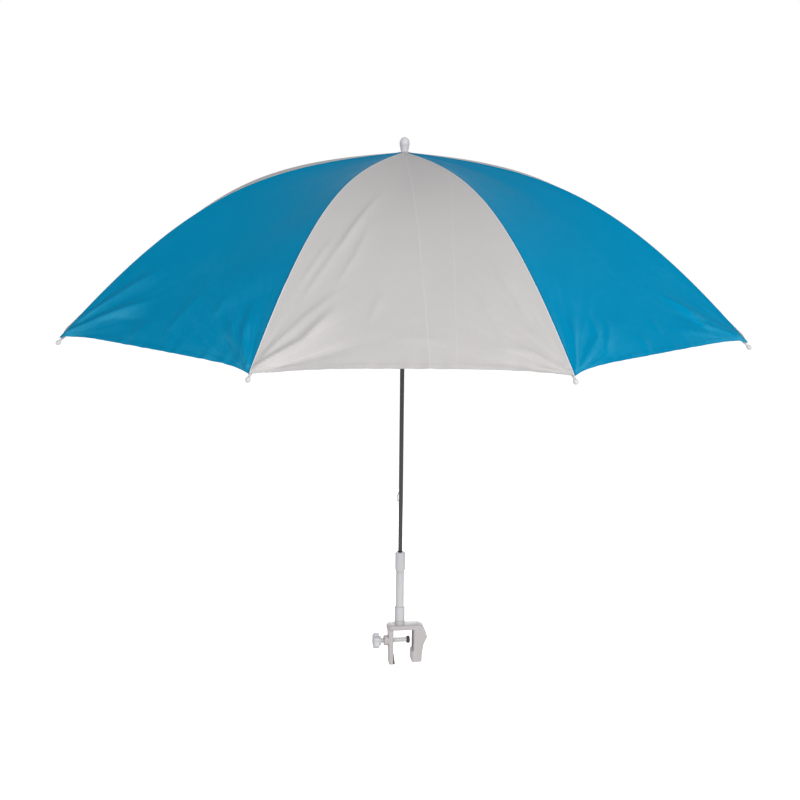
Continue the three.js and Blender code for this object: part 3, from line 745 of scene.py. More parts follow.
# Pulls in the cloth, each with its line in shares across (-1 to 1) and along the gore, its height and half width
whiteFolds = [
    ([(-1.0, 0.99), (-0.73, 0.925), (-0.5, 0.8)], 3.6, 6.5),
    ([(-0.93, 0.998), (-0.62, 0.965), (-0.3, 0.925)], -1.6, 8.0),
    ([(-0.98, 0.97), (-0.76, 0.86), (-0.5, 0.755)], 1.7, 5.0),
    ([(-0.86, 0.86), (-0.65, 0.615), (-0.5, 0.44)], 1.3, 4.5),
    ([(-0.68, 0.67), (-0.51, 0.47), (-0.36, 0.36)], 1.2, 3.6),
    ([(-0.62, 0.79), (-0.5, 0.66), (-0.42, 0.52)], 1.1, 4.0),
    ([(-0.9, 0.78), (-0.74, 0.58)], 0.9, 3.6),
    ([(-0.31, 0.88), (-0.22, 0.77)], 0.8, 4.0),
    ([(0.66, 0.955), (0.56, 0.845), (0.51, 0.77)], 1.2, 4.5),
    ([(0.86, 0.9), (0.76, 0.76), (0.7, 0.66)], 1.2, 4.0),
    ([(0.93, 0.96), (0.8, 0.87)], 1.0, 4.0),
    ([(0.96, 0.99), (0.79, 0.955), (0.5, 0.93)], 1.5, 5.0),
    ([(0.3, 0.93), (0.0, 0.915), (-0.2, 0.93)], 0.5, 5.0),
]
leftFolds = [
    ([(-1.0, 0.995), (-0.72, 0.93), (-0.36, 0.85)], 3.4, 6.5),
    ([(-1.0, 0.96), (-0.85, 0.89), (-0.55, 0.74)], 2.0, 6.0),
    ([(-0.9, 0.97), (-0.62, 0.93), (-0.2, 0.92)], -1.6, 8.0),
    ([(0.99, 0.995), (0.83, 0.935), (0.7, 0.82)], 2.6, 6.0),
    ([(0.92, 0.99), (0.65, 0.91), (0.55, 0.84)], 1.8, 6.5),
    ([(0.05, 0.985), (0.04, 0.895), (0.1, 0.8)], 1.0, 7.0),
    ([(0.42, 0.89), (0.38, 0.81)], 1.0, 6.0),
    ([(-0.3, 0.99), (-0.26, 0.93)], 0.9, 7.0),
]
rightFolds = [
    ([(1.0, 0.995), (0.66, 0.945), (0.5, 0.82)], 3.0, 5.5),
    ([(0.97, 0.985), (0.62, 0.9), (0.36, 0.79)], 1.7, 5.0),
    ([(0.95, 0.998), (0.6, 0.97), (0.2, 0.93)], 1.8, 6.0),
    ([(-0.99, 0.995), (-0.88, 0.925), (-0.74, 0.84)], 2.4, 5.5),
    ([(-0.93, 0.99), (-0.6, 0.93), (-0.52, 0.84)], 1.8, 5.5),
    ([(-0.64, 0.99), (-0.42, 0.91), (-0.36, 0.86)], 1.3, 5.5),
    ([(-0.15, 0.995), (-0.12, 0.93)], 1.0, 6.0),
    ([(0.1, 0.96), (0.12, 0.89)], 0.7, 6.0),
]


def smoothShare(value):
    value = np.clip(value, 0, 1)
    return value * value * (3 - 2 * value)


def goreStart():
    return (gore["crownHole"] - bow["hinge"][0]) / math.cos(bowHeading(0))


def hemAlong(u, power):
    return bowLength - gore["shortOfTip"] - gore["hemArch"] * (1 - np.abs(u) ** power)


def halfWidth(along):
    return bowPoint(along, gore["lift"])[0] * math.sin(math.radians(halfGore)) - 0.1


# Height of one pull over a flat map of the cloth, sharper on one side of its line than on the other
def foldHeight(across, along, line, height, width, power):
    places = []
    for u, share in line:
        length = goreStart() + (hemAlong(u, power) - goreStart()) * share
        places.append((u * halfWidth(length), length))
    steps = [math.hypot(b[0] - a[0], b[1] - a[1]) for a, b in zip(places, places[1:])]
    nearest = np.full_like(across, 1e9)
    share, side, done = np.zeros_like(across), np.ones_like(across), 0.0
    for (x1, y1), (x2, y2), step in zip(places, places[1:], steps):
        t = np.clip(((across - x1) * (x2 - x1) + (along - y1) * (y2 - y1)) / step ** 2, 0, 1)
        distance = np.hypot(across - x1 - t * (x2 - x1), along - y1 - t * (y2 - y1))
        closer = distance < nearest
        share = np.where(closer, (done + t * step) / sum(steps), share)
        turned = np.sign((across - x1) * (y2 - y1) - (along - y1) * (x2 - x1))
        side = np.where(closer, turned, side)
        nearest = np.minimum(nearest, distance)
        done += step
    atCorner = abs(line[0][0]) > 0.9
    fade = smoothShare(share / 0.12 + 0.25) if atCorner else smoothShare(share / 0.35)
    fade *= 1 - smoothShare((share - 0.6) / 0.4)
    spread = width * (0.45 + 0.8 * share)
    spread = np.where(side > 0, spread, gore["softSide"] * spread)
    return gore["pullScale"] * height * fade * np.exp(-(nearest / spread) ** gore["foldSharpness"])


# Smooth random waves over a gore, the same on every run
def clothWaves(u, s, picker):
    total = np.zeros_like(u)
    for _ in range(9):
        across, along = picker.uniform(0.6, 3.0), picker.uniform(0.5, 2.4)
        phase, size = picker.uniform(0, 2 * math.pi), picker.uniform(0.4, 1.0)
        slant = picker.uniform(-1, 1)
        total += size * np.sin(across * math.pi * (u + slant * s) + 2 * math.pi * along * s + phase)
    return total / 4


def foldsOf(number, picker):
    if number in (1, 2, 8):
        return {1: whiteFolds, 2: rightFolds, 8: leftFolds}[number]
    source = whiteFolds if number % 2 else (leftFolds if number == 4 else rightFolds)
    mirror = -1 if picker.rand() > 0.5 else 1
    folds = []
    for line, height, width in source:
        drift = picker.uniform(-0.03, 0.03)
        moved = [(mirror * u * (1 - abs(drift)), min(share + (drift if n else 0), 0.998))
                 for n, (u, share) in enumerate(line)]
        folds.append((moved, height * picker.uniform(0.6, 1.1), width * picker.uniform(0.85, 1.2)))
    return folds


def goreShape(number):
    picker = np.random.RandomState(40 + number)
    columns, rows = gore["columns"], gore["rows"]
    u = np.linspace(-1, 1, columns + 1)
    u = np.sign(u) * (1 - (1 - np.abs(u)) ** gore["edgeCrowding"])
    start, last = goreStart(), bowLength - gore["shortOfTip"]
    power = gore["archPowers"][number % 2]
    hem = gore["hemWidth"] / (last - start)
    hemRows = np.array(gore["hemRows"])
    s = np.concatenate([np.linspace(0, 1 - 1.6 * hem, rows - hemRows.size - 1), 1 - hem * hemRows, [1.0]])
    uu, ss = np.meshgrid(u, s)
    along = start + (hemAlong(uu, power) - start) * ss
    toHem = hemAlong(uu, power) - along
    side = halfWidth(along)
    across = uu * side
    toSeam = side * (1 - np.abs(uu))
    edgeFade = smoothShare(toSeam / gore["seamFade"]) * smoothShare(along / gore["crownFade"])
    bulge = -gore["sag"] * np.sin(math.pi * ss) * (1 - uu ** 2)
    calm = 0.35 + 0.65 * smoothShare(toHem / gore["hemFade"])
    bulge += gore["waveDepth"] * clothWaves(uu, ss, picker) * edgeFade * calm
    pulls = np.zeros_like(uu)
    for line, height, width in foldsOf(number, picker):
        pulls += foldHeight(across, along, line, height, width, power)
    for corner in (-1, 1):
        angle = np.arctan2((1 - corner * uu) * side, last - along)
        distance = np.hypot((1 - corner * uu) * side, last - along)
        for _ in range(gore["cornerRipples"]):
            count, phase = picker.uniform(16, 34), picker.uniform(0, 2 * math.pi)
            near = smoothShare(distance / 12) * np.exp(-distance / picker.uniform(35, 80))
            pulls += gore["rippleDepth"] * np.sin(count * angle + phase) * near
    for _ in range(gore["hemRipples"]):
        length, phase = picker.uniform(18, 46), picker.uniform(0, 2 * math.pi)
        near = np.exp(-toHem / picker.uniform(10, 26))
        pulls += 0.5 * gore["rippleDepth"] * np.sin(2 * math.pi * across / length + phase) * near
    gathered = smoothShare(along / gore["gatherStart"]) * np.exp(-along / gore["gatherReach"])
    pulls += gore["gatherDepth"] * np.cos(gore["gathers"] * math.pi * uu + picker.uniform(-1, 1)) * gathered
    pulls *= np.where(pulls < 0, smoothShare(toSeam / 14), 1.0)
    for first, slope, strength in zip(cloth["creaseStarts"], cloth["creaseSlopes"], cloth["creaseStrengths"]):
        offset = across - first - slope * along
        pulls += gore["creaseRise"] * strength * np.exp(-np.abs(offset) / gore["creaseWidth"]) * edgeFade
    bulge += pulls * smoothShare((toSeam + 1.5) / 6)
    bulge += gore["seamStep"] * smoothShare((gore["seamBand"] - toSeam) / 1.5 + 0.5)
    bulge += gore["hemStep"] * smoothShare((gore["hemWidth"] - toHem) / 1.0 + 0.5)
    # Painted shade and highlight for the colour: the side of each fold that slopes one way is darkened and the other
    # lightened, and the cloth near the crown is darkened, as the studio lamps would shade them; this goes into the
    # foldShade attribute
    slope = (gore["fallLight"] * np.gradient(pulls, axis=0) / np.gradient(along, axis=0)
             + gore["sideLight"] * np.gradient(pulls, axis=1) / np.maximum(np.gradient(across, axis=1), 0.2))
    shadow = np.clip(slope * gore["foldContrasts"][number % 2], *gore["shadeLimits"])
    shadow += gore["crownShades"][number % 2] * np.exp(-along / gore["crownShadeReach"])
    reach, height = bowPoint(along, gore["lift"])
    outward = bowHeading(along) + math.pi / 2
    x = reach * math.cos(math.radians(halfGore)) + bulge * np.cos(outward)
    z = height + bulge * np.sin(outward)
    return x, across, z, along, toHem, toSeam, shadow


def makeGore(number):
    x, y, z, along, toHem, toSeam, shadow = goreShape(number)
    rows, columns = x.shape
    turn = math.radians(ribTurn(number - 1) + halfGore)
    points = np.stack([x * math.cos(turn) - y * math.sin(turn), x * math.sin(turn) + y * math.cos(turn), z], -1)
    mesh = bpy.data.meshes.new(f"goreCloth_{number}")
    index = np.arange(rows * columns).reshape(rows, columns)
    faces = np.stack([index[:-1, :-1], index[1:, :-1], index[1:, 1:], index[:-1, 1:]], -1).reshape(-1, 4)
    mesh.from_pydata((points.reshape(-1, 3) * mm).tolist(), [], faces.tolist())
    piece = bpy.data.objects.new(f"goreCloth_{number}", mesh)
    bpy.context.scene.collection.objects.link(piece)
    layer = mesh.uv_layers.new(name="clothMap")
    flat = np.stack([y.ravel() * mm, along.ravel() * mm], -1)
    loops = np.zeros(len(mesh.loops), int)
    mesh.loops.foreach_get("vertex_index", loops)
    layer.data.foreach_set("uv", flat[loops].astype(np.float32).ravel())
    for label, values in (("fromHem", toHem * mm), ("fromSeam", toSeam * mm), ("foldShade", shadow),
                          ("seed", np.full_like(shadow, 5.3 * number))):
        attribute = mesh.attributes.new(label, "FLOAT", "POINT")
        attribute.data.foreach_set("value", values.ravel().astype(np.float32))
    makeActive(piece)
    if mesh.polygons[len(mesh.polygons) // 2].normal.z < 0:
        mesh.flip_normals()
    wall = piece.modifiers.new("clothWall", "SOLIDIFY")
    wall.thickness = gore["thick"] * mm
    wall.offset = 1
    applyAll(piece)
    shade(piece, 60)
    white = number % 2 == 1
    piece.data.materials.append(whiteCloth if white else blueCloth)
    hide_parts(f"canopy_gore_{number}")
    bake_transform(piece)


for number in range(1, bow["count"] + 1):
    makeGore(number)
print("canopy made")

# Crown
cap = {
    "foot": 5.4,
    "neck": 6.3,
    "bulb": 7.2,
    "neckHeight": 5.5,
    "bulbShare": 0.4,
    "bore": 3.5,
    "boreDepth": 12.0,
    "steps": 14,
}


# Points of a profile that swells smoothly from one radius to another
def swell(first, last, low, rise, steps=6):
    return [(first + (last - first) * smoothShare(n / steps), low + rise * (n / steps)) for n in range(1, steps + 1)]


def makeCap():
    low, high = nodeBox("ferrule_cap")
    foot, top = low.z, high.z
    neckTop = foot + cap["neckHeight"]
    middle = neckTop + (top - neckTop) * cap["bulbShare"]
    bore, boreTop = cap["bore"], foot + cap["boreDepth"]
    profile = [(0, boreTop), (bore, boreTop), (bore, foot), (cap["foot"], foot)]
    for n in range(1, 5):
        share = n / 4
        profile.append((cap["foot"] + (cap["neck"] - cap["foot"]) * share ** 1.3, foot + cap["neckHeight"] * share))
    profile += swell(cap["neck"], cap["bulb"], neckTop, middle - neckTop)
    for n in range(1, cap["steps"] + 1):
        angle = math.pi / 2 * n / cap["steps"]
        profile.append((cap["bulb"] * math.cos(angle) ** 0.92 if n < cap["steps"] else 0,
                        middle + (top - middle) * math.sin(angle)))
    piece = turnPiece("capShell", profile, closed=False, edge=0.25)
    dress(piece, whitePlastic, "mast", "ferrule_cap")


def makeWasher():
    low, high = nodeBox("crown_washer")
    reach = high.x
    profile = [(cap["bore"], low.z), (reach - 0.5, low.z), (reach, low.z + 0.35), (reach - 0.3, low.z + 0.6),
               (cap["foot"] + 1.2, high.z), (cap["bore"], high.z)]
    dress(turnPiece("crownDisc", profile, edge=0.1), whitePlastic, "mast", "crown_washer")


makeCap()
makeWasher()
print("crown made")


# Ribs, their tips and stretchers: each is modelled once in its own plane and copied round the shaft
wire = {
    "tongueThick": 1.6,
    "tongueLength": 7.5,
    "eyeRadius": 1.9,
    "eyeHole": 1.0,
    "earThick": 1.4,
    "earRadius": 2.2,
    "pinRadius": 0.8,
    "pinPlay": 0.25,
    "roundness": 3,
    "steps": 64,
    "cheekThick": 1.0,
    "cheekGap": 0.3,
    "forkLength": 8.5,
    "headRadius": 1.6,
    "headThick": 0.6,
    "stretcherRadius": 1.1,
    "barOverlap": 0.8,
}
tip = {
    "ball": 3.2,
    "halfLength": 3.8,
    "stem": 2.1,
    "stemLength": 13.0,
    "boreDepth": 10.0,
    "bore": 1.5,
    "throat": 1.6,
    "eye": 0.45,
    "eyePlace": -6.4,
}
ribPivot = bowPoint(bow["earAlong"], -bow["earDrop"])
runnerPivot = (bow["hinge"][0], 2 * ribPivot[1] - bow["hinge"][1])
wireStart = wire["tongueLength"] - wire["eyeRadius"]
wireEnd = bowLength - tip["stemLength"] + tip["boreDepth"] - 0.3


def placeAtRibs(piece, finish, bodyName, nodeName):
    name = piece.name
    turnAbout(piece, ribTurn(0))
    twins = [copyPiece(piece, f"{name}_{n + 1}", 2 * halfGore * n) for n in range(1, bow["count"])]
    piece.name = piece.data.name = f"{name}_1"
    for n, twin in enumerate([piece, *twins]):
        dress(twin, finish, f"{bodyName}_{n + 1}", f"{nodeName}_{n + 1}")


def makeRibs():
    spots = [bowPoint(a) for a in np.linspace(wireStart, wireEnd, wire["steps"] + 1)]
    piece = traceLine("ribWire", [(x * mm, 0, z * mm) for x, z in spots])
    bpy.ops.object.mode_set(mode="OBJECT")
    bpy.ops.object.convert(target="CURVE")
    piece.data.bevel_depth, piece.data.bevel_resolution = bow["wireRadius"] * mm, wire["roundness"]
    piece.data.use_fill_caps = True
    bpy.ops.object.convert(target="MESH")
    bpy.ops.object.mode_set(mode="EDIT")
    closeMesh()
    half = wire["tongueThick"] / 2
    tongue = cutPlate("ribTongue", lobeOutline(bow["hinge"], bowPoint(wire["tongueLength"]), wire["eyeRadius"]),
                      -half, half, edge=0.25)
    drillAcross(tongue, wire["eyeHole"], bow["hinge"])
    half = wire["earThick"] / 2
    foot = bowPoint(bow["earAlong"], bow["wireRadius"] - wire["earRadius"])
    ear = cutPlate("ribEar", lobeOutline(foot, ribPivot, wire["earRadius"]), -half, half, edge=0.25)
    drillAcross(ear, wire["pinRadius"] + wire["pinPlay"], ribPivot)
    combine(piece, tongue, "UNION")
    combine(piece, ear, "UNION")
    shade(piece, 50)
    placeAtRibs(piece, darkSteel, "rib", "rib")


def makeTips():
    boreEnd = tip["boreDepth"] - tip["stemLength"]
    profile = [(0, boreEnd), (tip["bore"], boreEnd), (tip["bore"], -tip["stemLength"]),
               (tip["stem"] - 0.25, -tip["stemLength"]), (tip["stem"], -tip["stemLength"] + 0.3),
               (tip["stem"], -8.2), (tip["throat"] + 0.2, -7.6), (tip["throat"], -6.4), (tip["throat"], -4.6)]
    for n in range(15):
        angle = -math.pi * 0.3 + (math.pi * 0.3 + math.pi / 2) * n / 14
        radius = tip["ball"] * math.cos(angle) if n < 14 else 0
        profile.append((radius, tip["halfLength"] * math.sin(angle)))
    piece = turnPiece("ribEnd", profile, steps=32, closed=False, edge=0)
    drillAcross(piece, tip["eye"], (0, tip["eyePlace"]), 4, 12)
    shade(piece, 50)
    slant = bowHeading(wireEnd - (wireEnd - wireStart) / 24)
    turnAbout(piece, 90 - math.degrees(slant), "Y")
    piece.location = (tipPlace[0] * mm, 0, tipPlace[1] * mm)
    settle(piece)
    placeAtRibs(piece, whitePlastic, "rib", "rib_tip")


def makeStretchers():
    length = math.hypot(ribPivot[0] - runnerPivot[0], ribPivot[1] - runnerPivot[1])

    def along(distance):
        return tuple(a + (b - a) * distance / length for a, b in zip(ribPivot, runnerPivot))

    inner = wire["earThick"] / 2 + wire["cheekGap"]
    outer = inner + wire["cheekThick"]
    radius = wire["earRadius"]
    start, end = along(wire["forkLength"]), along(length - wire["tongueLength"])
    overlap = wire["barOverlap"]
    barEnds = [along(wire["forkLength"] - overlap), along(length - wire["tongueLength"] + overlap)]
    piece = addRod("stretcherBar", wire["stretcherRadius"], *[(x, 0, z) for x, z in barEnds], 18)
    fork = cutPlate("fork", lobeOutline(ribPivot, start, radius, 13), -outer, outer, edge=0.3)
    gap = cutPlate("gap", lobeOutline(along(-3 * radius), along(radius + 0.6), radius + 1), -inner, inner, edge=0)
    combine(fork, gap, "DIFFERENCE")

    def rivetRod(name, pinRadius, near, far, sides, edge=0.0):
        return addRod(name, pinRadius, (ribPivot[0], near, ribPivot[1]), (ribPivot[0], far, ribPivot[1]), sides, edge)

    parts = [fork, rivetRod("rivet", wire["pinRadius"], -outer - 0.2, outer + 0.2, 22)]
    for side in (-1, 1):
        parts.append(rivetRod("rivetHead", wire["headRadius"], side * (outer - 0.25),
                              side * (outer + wire["headThick"]), 24, 0.24))
    half = wire["tongueThick"] / 2
    tongue = cutPlate("tongue", lobeOutline(runnerPivot, end, wire["eyeRadius"]), -half, half, edge=0.25)
    drillAcross(tongue, wire["eyeHole"], runnerPivot)
    for part in [*parts, tongue]:
        combine(piece, part, "UNION")
    shade(piece, 50)
    placeAtRibs(piece, darkSteel, "stretcher", "stretcher")


makeRibs()
makeTips()
makeStretchers()
print("ribs, tips and stretchers made")


# Top notch, its ring wire and pin
notch = {
    "radius": 10.6,
    "above": 1.9,
    "below": 4.5,
    "hubRadius": 6.5,
    "hubDrop": 11.0,
    "slotFloor": 5.3,
    "slotHalf": 1.2,
    "groove": 0.9,
    "rimSlope": 0.85,
    "bore": 3.5,
    "ringWire": 0.6,
    "pinRadius": 0.8,
    "pinDrop": 7.8,
}


# Both ends of a hole or rod along the pin that fixes the notch on the shaft
def pinEnds(reach):
    turn = math.radians(ribTurn(0) + halfGore)
    heading = Vector((math.cos(turn), math.sin(turn), 0))
    middle = Vector((0, 0, bow["hinge"][1] - notch["pinDrop"]))
    return middle - reach * heading, middle + reach * heading


def makeNotch():
    ringReach, middle = bow["hinge"]
    low, high, foot = middle - notch["below"], middle + notch["above"], middle - notch["hubDrop"]
    bore, hub, reach = notch["bore"], notch["hubRadius"], notch["radius"]
    groove, slope = notch["groove"], notch["rimSlope"]
    profile = [(bore, foot), (hub, foot), (hub, low), (reach, low), (reach, middle - groove),
               (ringReach - groove, middle - groove), (ringReach - groove, middle + groove),
               (reach, middle + groove), (reach, high - slope), (reach - slope, high), (bore, high)]
    piece = turnPiece("notchBody", profile, edge=0.25)
    cutAtRibs(piece, (notch["slotFloor"], -notch["slotHalf"], low - 1),
              (reach + 4, notch["slotHalf"], high + 4))
    drill(piece, notch["pinRadius"] + 0.15, *pinEnds(12))
    shade(piece, 35)
    dress(piece, whitePlastic, "mast", "top_notch")
    pin = addRod("notchRivet", notch["pinRadius"], *pinEnds(hub), 24, edge=0.2)
    dress(pin, zincSteel, "mast", "notch_pin")
    clearSelection()
    bpy.ops.mesh.primitive_circle_add(vertices=12, radius=notch["ringWire"] * mm, fill_type="NOTHING",
                                      location=(ringReach * mm, 0, middle * mm), rotation=(math.pi / 2, 0, 0))
    ring = namePiece("notchWire")
    settle(ring)
    bpy.ops.object.mode_set(mode="EDIT")
    bpy.ops.mesh.select_all(action="SELECT")
    spinRound(72)
    shade(ring, 60)
    dress(ring, zincSteel, "mast", "notch_ring_wire")


makeNotch()
print("top notch made")


# Shaft and its two catch springs
shaft = {
    "radius": 3.2,
    "bore": 2.5,
    "catchTurn": -190.0,
    "slotHalf": 1.2,
    "slotPlay": 0.4,
    "catchReach": 5.8,
    "catchHeight": 18.0,
    "catchSquare": 6.0,
    "catchHalf": 0.8,
    "legNear": 0.6,
    "legFar": 1.5,
    "legLength": 34.0,
    "seatLength": 6.0,
    "seatFar": 2.0,
    "wall": 0.9,
}


def catchShoulders():
    return (("bottom", nodeBox("bottom_catch_spring")[0].z, 1), ("top", nodeBox("top_catch_spring")[1].z, -1))


def makeCatch(name, shoulder, up):
    reach, height, square = shaft["catchReach"], shaft["catchHeight"], shaft["catchSquare"]
    near, far, seat = shaft["legNear"], shaft["legFar"], shaft["seatFar"]
    leg = height + shaft["legLength"]
    outline = [(near, 0), (reach - 0.5, 0), (reach - 0.15, 0.15), (reach, 0.5), (reach, square - 0.6),
               (reach - 0.2, square + 0.3), (far, height), (far, leg - shaft["seatLength"]),
               (seat, leg - shaft["seatLength"] + 0.4), (seat, leg), (near, leg)]
    half, wall = shaft["catchHalf"], shaft["wall"]
    piece = cutPlate(f"{name}CatchStrip", [(x, shoulder + up * z) for x, z in outline], -half, half, edge=0.18)
    hollow = [(near + wall, wall), (reach - wall, wall), (reach - wall, square - 0.2), (near + wall, height - 3.2)]
    combine(piece, cutPlate("hollow", [(x, shoulder + up * z) for x, z in hollow], -3, 3, edge=0), "DIFFERENCE")
    turnAbout(piece, shaft["catchTurn"])
    shade(piece, 35)
    dress(piece, springSteel, f"{name}_catch", f"{name}_catch_spring")


def makeShaft():
    low, high = nodeBox("shaft")
    profile = [(shaft["bore"], low.z), (shaft["radius"], low.z), (shaft["radius"], high.z), (shaft["bore"], high.z)]
    piece = turnPiece("shaftTube", profile, edge=0.15)
    for name, shoulder, up in catchShoulders():
        ends = sorted([shoulder - up * shaft["slotPlay"], shoulder + up * (shaft["catchHeight"] + shaft["slotPlay"])])
        slot = addBox("slot", (0, -shaft["slotHalf"], ends[0]), (6, shaft["slotHalf"], ends[1]))
        turnAbout(slot, shaft["catchTurn"])
        combine(piece, slot, "DIFFERENCE")
        makeCatch(name, shoulder, up)
    drill(piece, notch["pinRadius"] + 0.2, *pinEnds(5))
    shade(piece, 35)
    dress(piece, darkSteel, "mast", "shaft")


makeShaft()
print("shaft and catches made")


# Runner
runner = {
    "crown": 11.0,
    "above": 4.0,
    "below": 6.0,
    "slotFloor": 5.6,
    "slotHalf": 1.2,
    "barrel": 5.1,
    "rim": 6.6,
    "rimHeight": 4.0,
    "bore": 3.5,
    "windowLift": 8.7,
    "windowHeight": 19.6,
    "windowHalf": 1.2,
}


def makeRunner():
    low, high = nodeBox("runner")
    middle = high.z - runner["above"]
    crownFoot, foot = middle - runner["below"], low.z
    bore, rim, barrel, crown = runner["bore"], runner["rim"], runner["barrel"], runner["crown"]
    rimTop = foot + runner["rimHeight"]
    profile = [(bore, foot), (rim, foot), (rim, rimTop - 0.8), (barrel + 0.5, rimTop), (barrel, rimTop),
               (barrel, crownFoot), (crown, crownFoot), (crown, high.z), (bore, high.z)]
    piece = turnPiece("runnerSleeve", profile, edge=0.35)
    cutAtRibs(piece, (runner["slotFloor"], -runner["slotHalf"], crownFoot - 0.3),
              (crown + 4, runner["slotHalf"], high.z + 0.3))
    windowFoot = foot + runner["windowLift"]
    window = addBox("window", (0, -runner["windowHalf"], windowFoot),
                    (8, runner["windowHalf"], windowFoot + runner["windowHeight"]))
    turnAbout(window, shaft["catchTurn"])
    combine(piece, window, "DIFFERENCE")
    shade(piece, 35)
    dress(piece, whitePlastic, "runner", "runner")


makeRunner()
print("runner made")


# Neck: two collars, the sleeve that bends between them, and the steel core inside it
neck = {
    "collar": 7.55,
    "collarEdge": 1.0,
    "taperFoot": 6.4,
    "taperHeight": 5.0,
    "spigot": 4.0,
    "coreBore": 2.8,
    "core": 2.5,
    "coreGroove": 0.22,
    "corePitch": 1.4,
    "sleeve": 6.15,
    "sleeveWave": 0.05,
    "sleevePitch": 3.0,
    "shaftBore": 3.5,
    "lineDepth": 0.25,
    "shaftFoot": 93.3,
    "socketTop": 13.3,
}


def makeCollars():
    low, high = nodeBox("neck_lower_collar")
    coreFoot = nodeBox("neck_core")[0].z - 0.3
    edge, reach, line = neck["collarEdge"], neck["collar"], neck["lineDepth"]
    spigot, seat, bore, rim = neck["spigot"], neck["socketTop"], neck["coreBore"], high.z - edge
    profile = [(0, low.z), (spigot - 0.4, low.z), (spigot, low.z + 0.5), (spigot, seat), (reach, seat),
               (reach, rim - 1.4), (reach - line, rim - 1.2), (reach - line, rim - 0.7), (reach, rim - 0.5),
               (reach, rim), (reach - 0.3 * edge, high.z - 0.3 * edge), (reach - edge, high.z), (bore, high.z),
               (bore, coreFoot), (0, coreFoot)]
    piece = turnPiece("lowerCollar", profile, closed=False, edge=0.12)
    dress(piece, whitePlastic, "neck_base", "neck_lower_collar")
    low, high = nodeBox("neck_upper_collar")
    foot, coreTop = low.z, nodeBox("neck_core")[1].z + 0.3
    profile = [(0, coreTop), (bore, coreTop), (bore, foot), (neck["taperFoot"] - 0.3, foot),
               (neck["taperFoot"], foot + 0.3)]
    profile += swell(neck["taperFoot"], reach, foot + 0.3, neck["taperHeight"])
    profile += [(reach, high.z - edge), (reach - 0.3 * edge, high.z - 0.3 * edge), (reach - edge, high.z),
                (neck["shaftBore"], high.z), (neck["shaftBore"], neck["shaftFoot"] - 0.3),
                (0, neck["shaftFoot"] - 0.3)]
    piece = turnPiece("upperCollar", profile, closed=False, edge=0.12)
    dress(piece, whitePlastic, "mast", "neck_upper_collar")


# Profile with small waves up the outside of a part that bends
def wavyProfile(inner, outer, depth, pitch, low, high):
    count = max(8, round((high - low) / pitch * 4))
    outside = [(outer - depth * (1 - math.cos(math.pi * n / 2)), low + (high - low) * n / count)
               for n in range(count + 1)]
    if inner == 0:
        return [(0, low), *outside, (0, high)]
    inside = [(inner, low + (high - low) * n / (count // 2)) for n in range(count // 2, -1, -1)]
    return [*outside, *inside]


def makeBendingParts():
    low, high = nodeBox("neck_sleeve")
    sleeve = turnPiece("neckHose", wavyProfile(neck["coreBore"], neck["sleeve"], neck["sleeveWave"],
                                               neck["sleevePitch"], low.z, high.z), edge=0)
    low, high = nodeBox("neck_core")
    core = turnPiece("neckSpring", wavyProfile(0, neck["core"], neck["coreGroove"], neck["corePitch"], low.z, high.z),
                     steps=24, closed=False, edge=0)
    for piece, finish, slotName, node in ((sleeve, whitePlastic, "white_plastic", "neck_sleeve"),
                                          (core, zincSteel, "zinc_steel", "neck_core")):
        piece.data.materials.append(finish)
        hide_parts(node)
        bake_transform(piece)


makeCollars()
makeBendingParts()
print("neck made")


# Clamp body
clamp = {
    "bridgeHeight": 7.1,
    "bridgeLeft": -19.5,
    "bridgeCorner": 9.0,
    "half": 12.0,
    "armLength": 51.0,
    "armInner": 20.5,
    "armTop": 29.7,
    "armReach": 41.2,
    "reachShares": (0.871, 0.947, 1.0, 0.927, 0.859, 0.828, 0.808, 0.791),
    "dropShares": (0.064, 0.205, 0.336, 0.415, 0.547, 0.682, 0.811, 1.0),
    "lipInner": 17.8,
    "lipHeight": 15.5,
    "lipSlope": 2.4,
    "grooveDepth": 3.5,
    "grooveHalf": 7.0,
    "leftOuter": -17.8,
    "leftTaper": 1.5,
    "leftInner": -10.0,
    "leftHalf": 8.0,
    "leftFoot": -55.0,
    "bossRadius": 7.8,
    "bossReach": -23.8,
    "socketBoss": 7.6,
    "socketTop": 13.0,
    "socket": 4.3,
    "socketFloor": 3.2,
    "screwHeight": -18.0,
    "screwHole": 4.3,
    "stripSeat": 1.0,
    "stripTop": -38.7,
    "stripHalf": 6.3,
    "edge": 1.3,
}


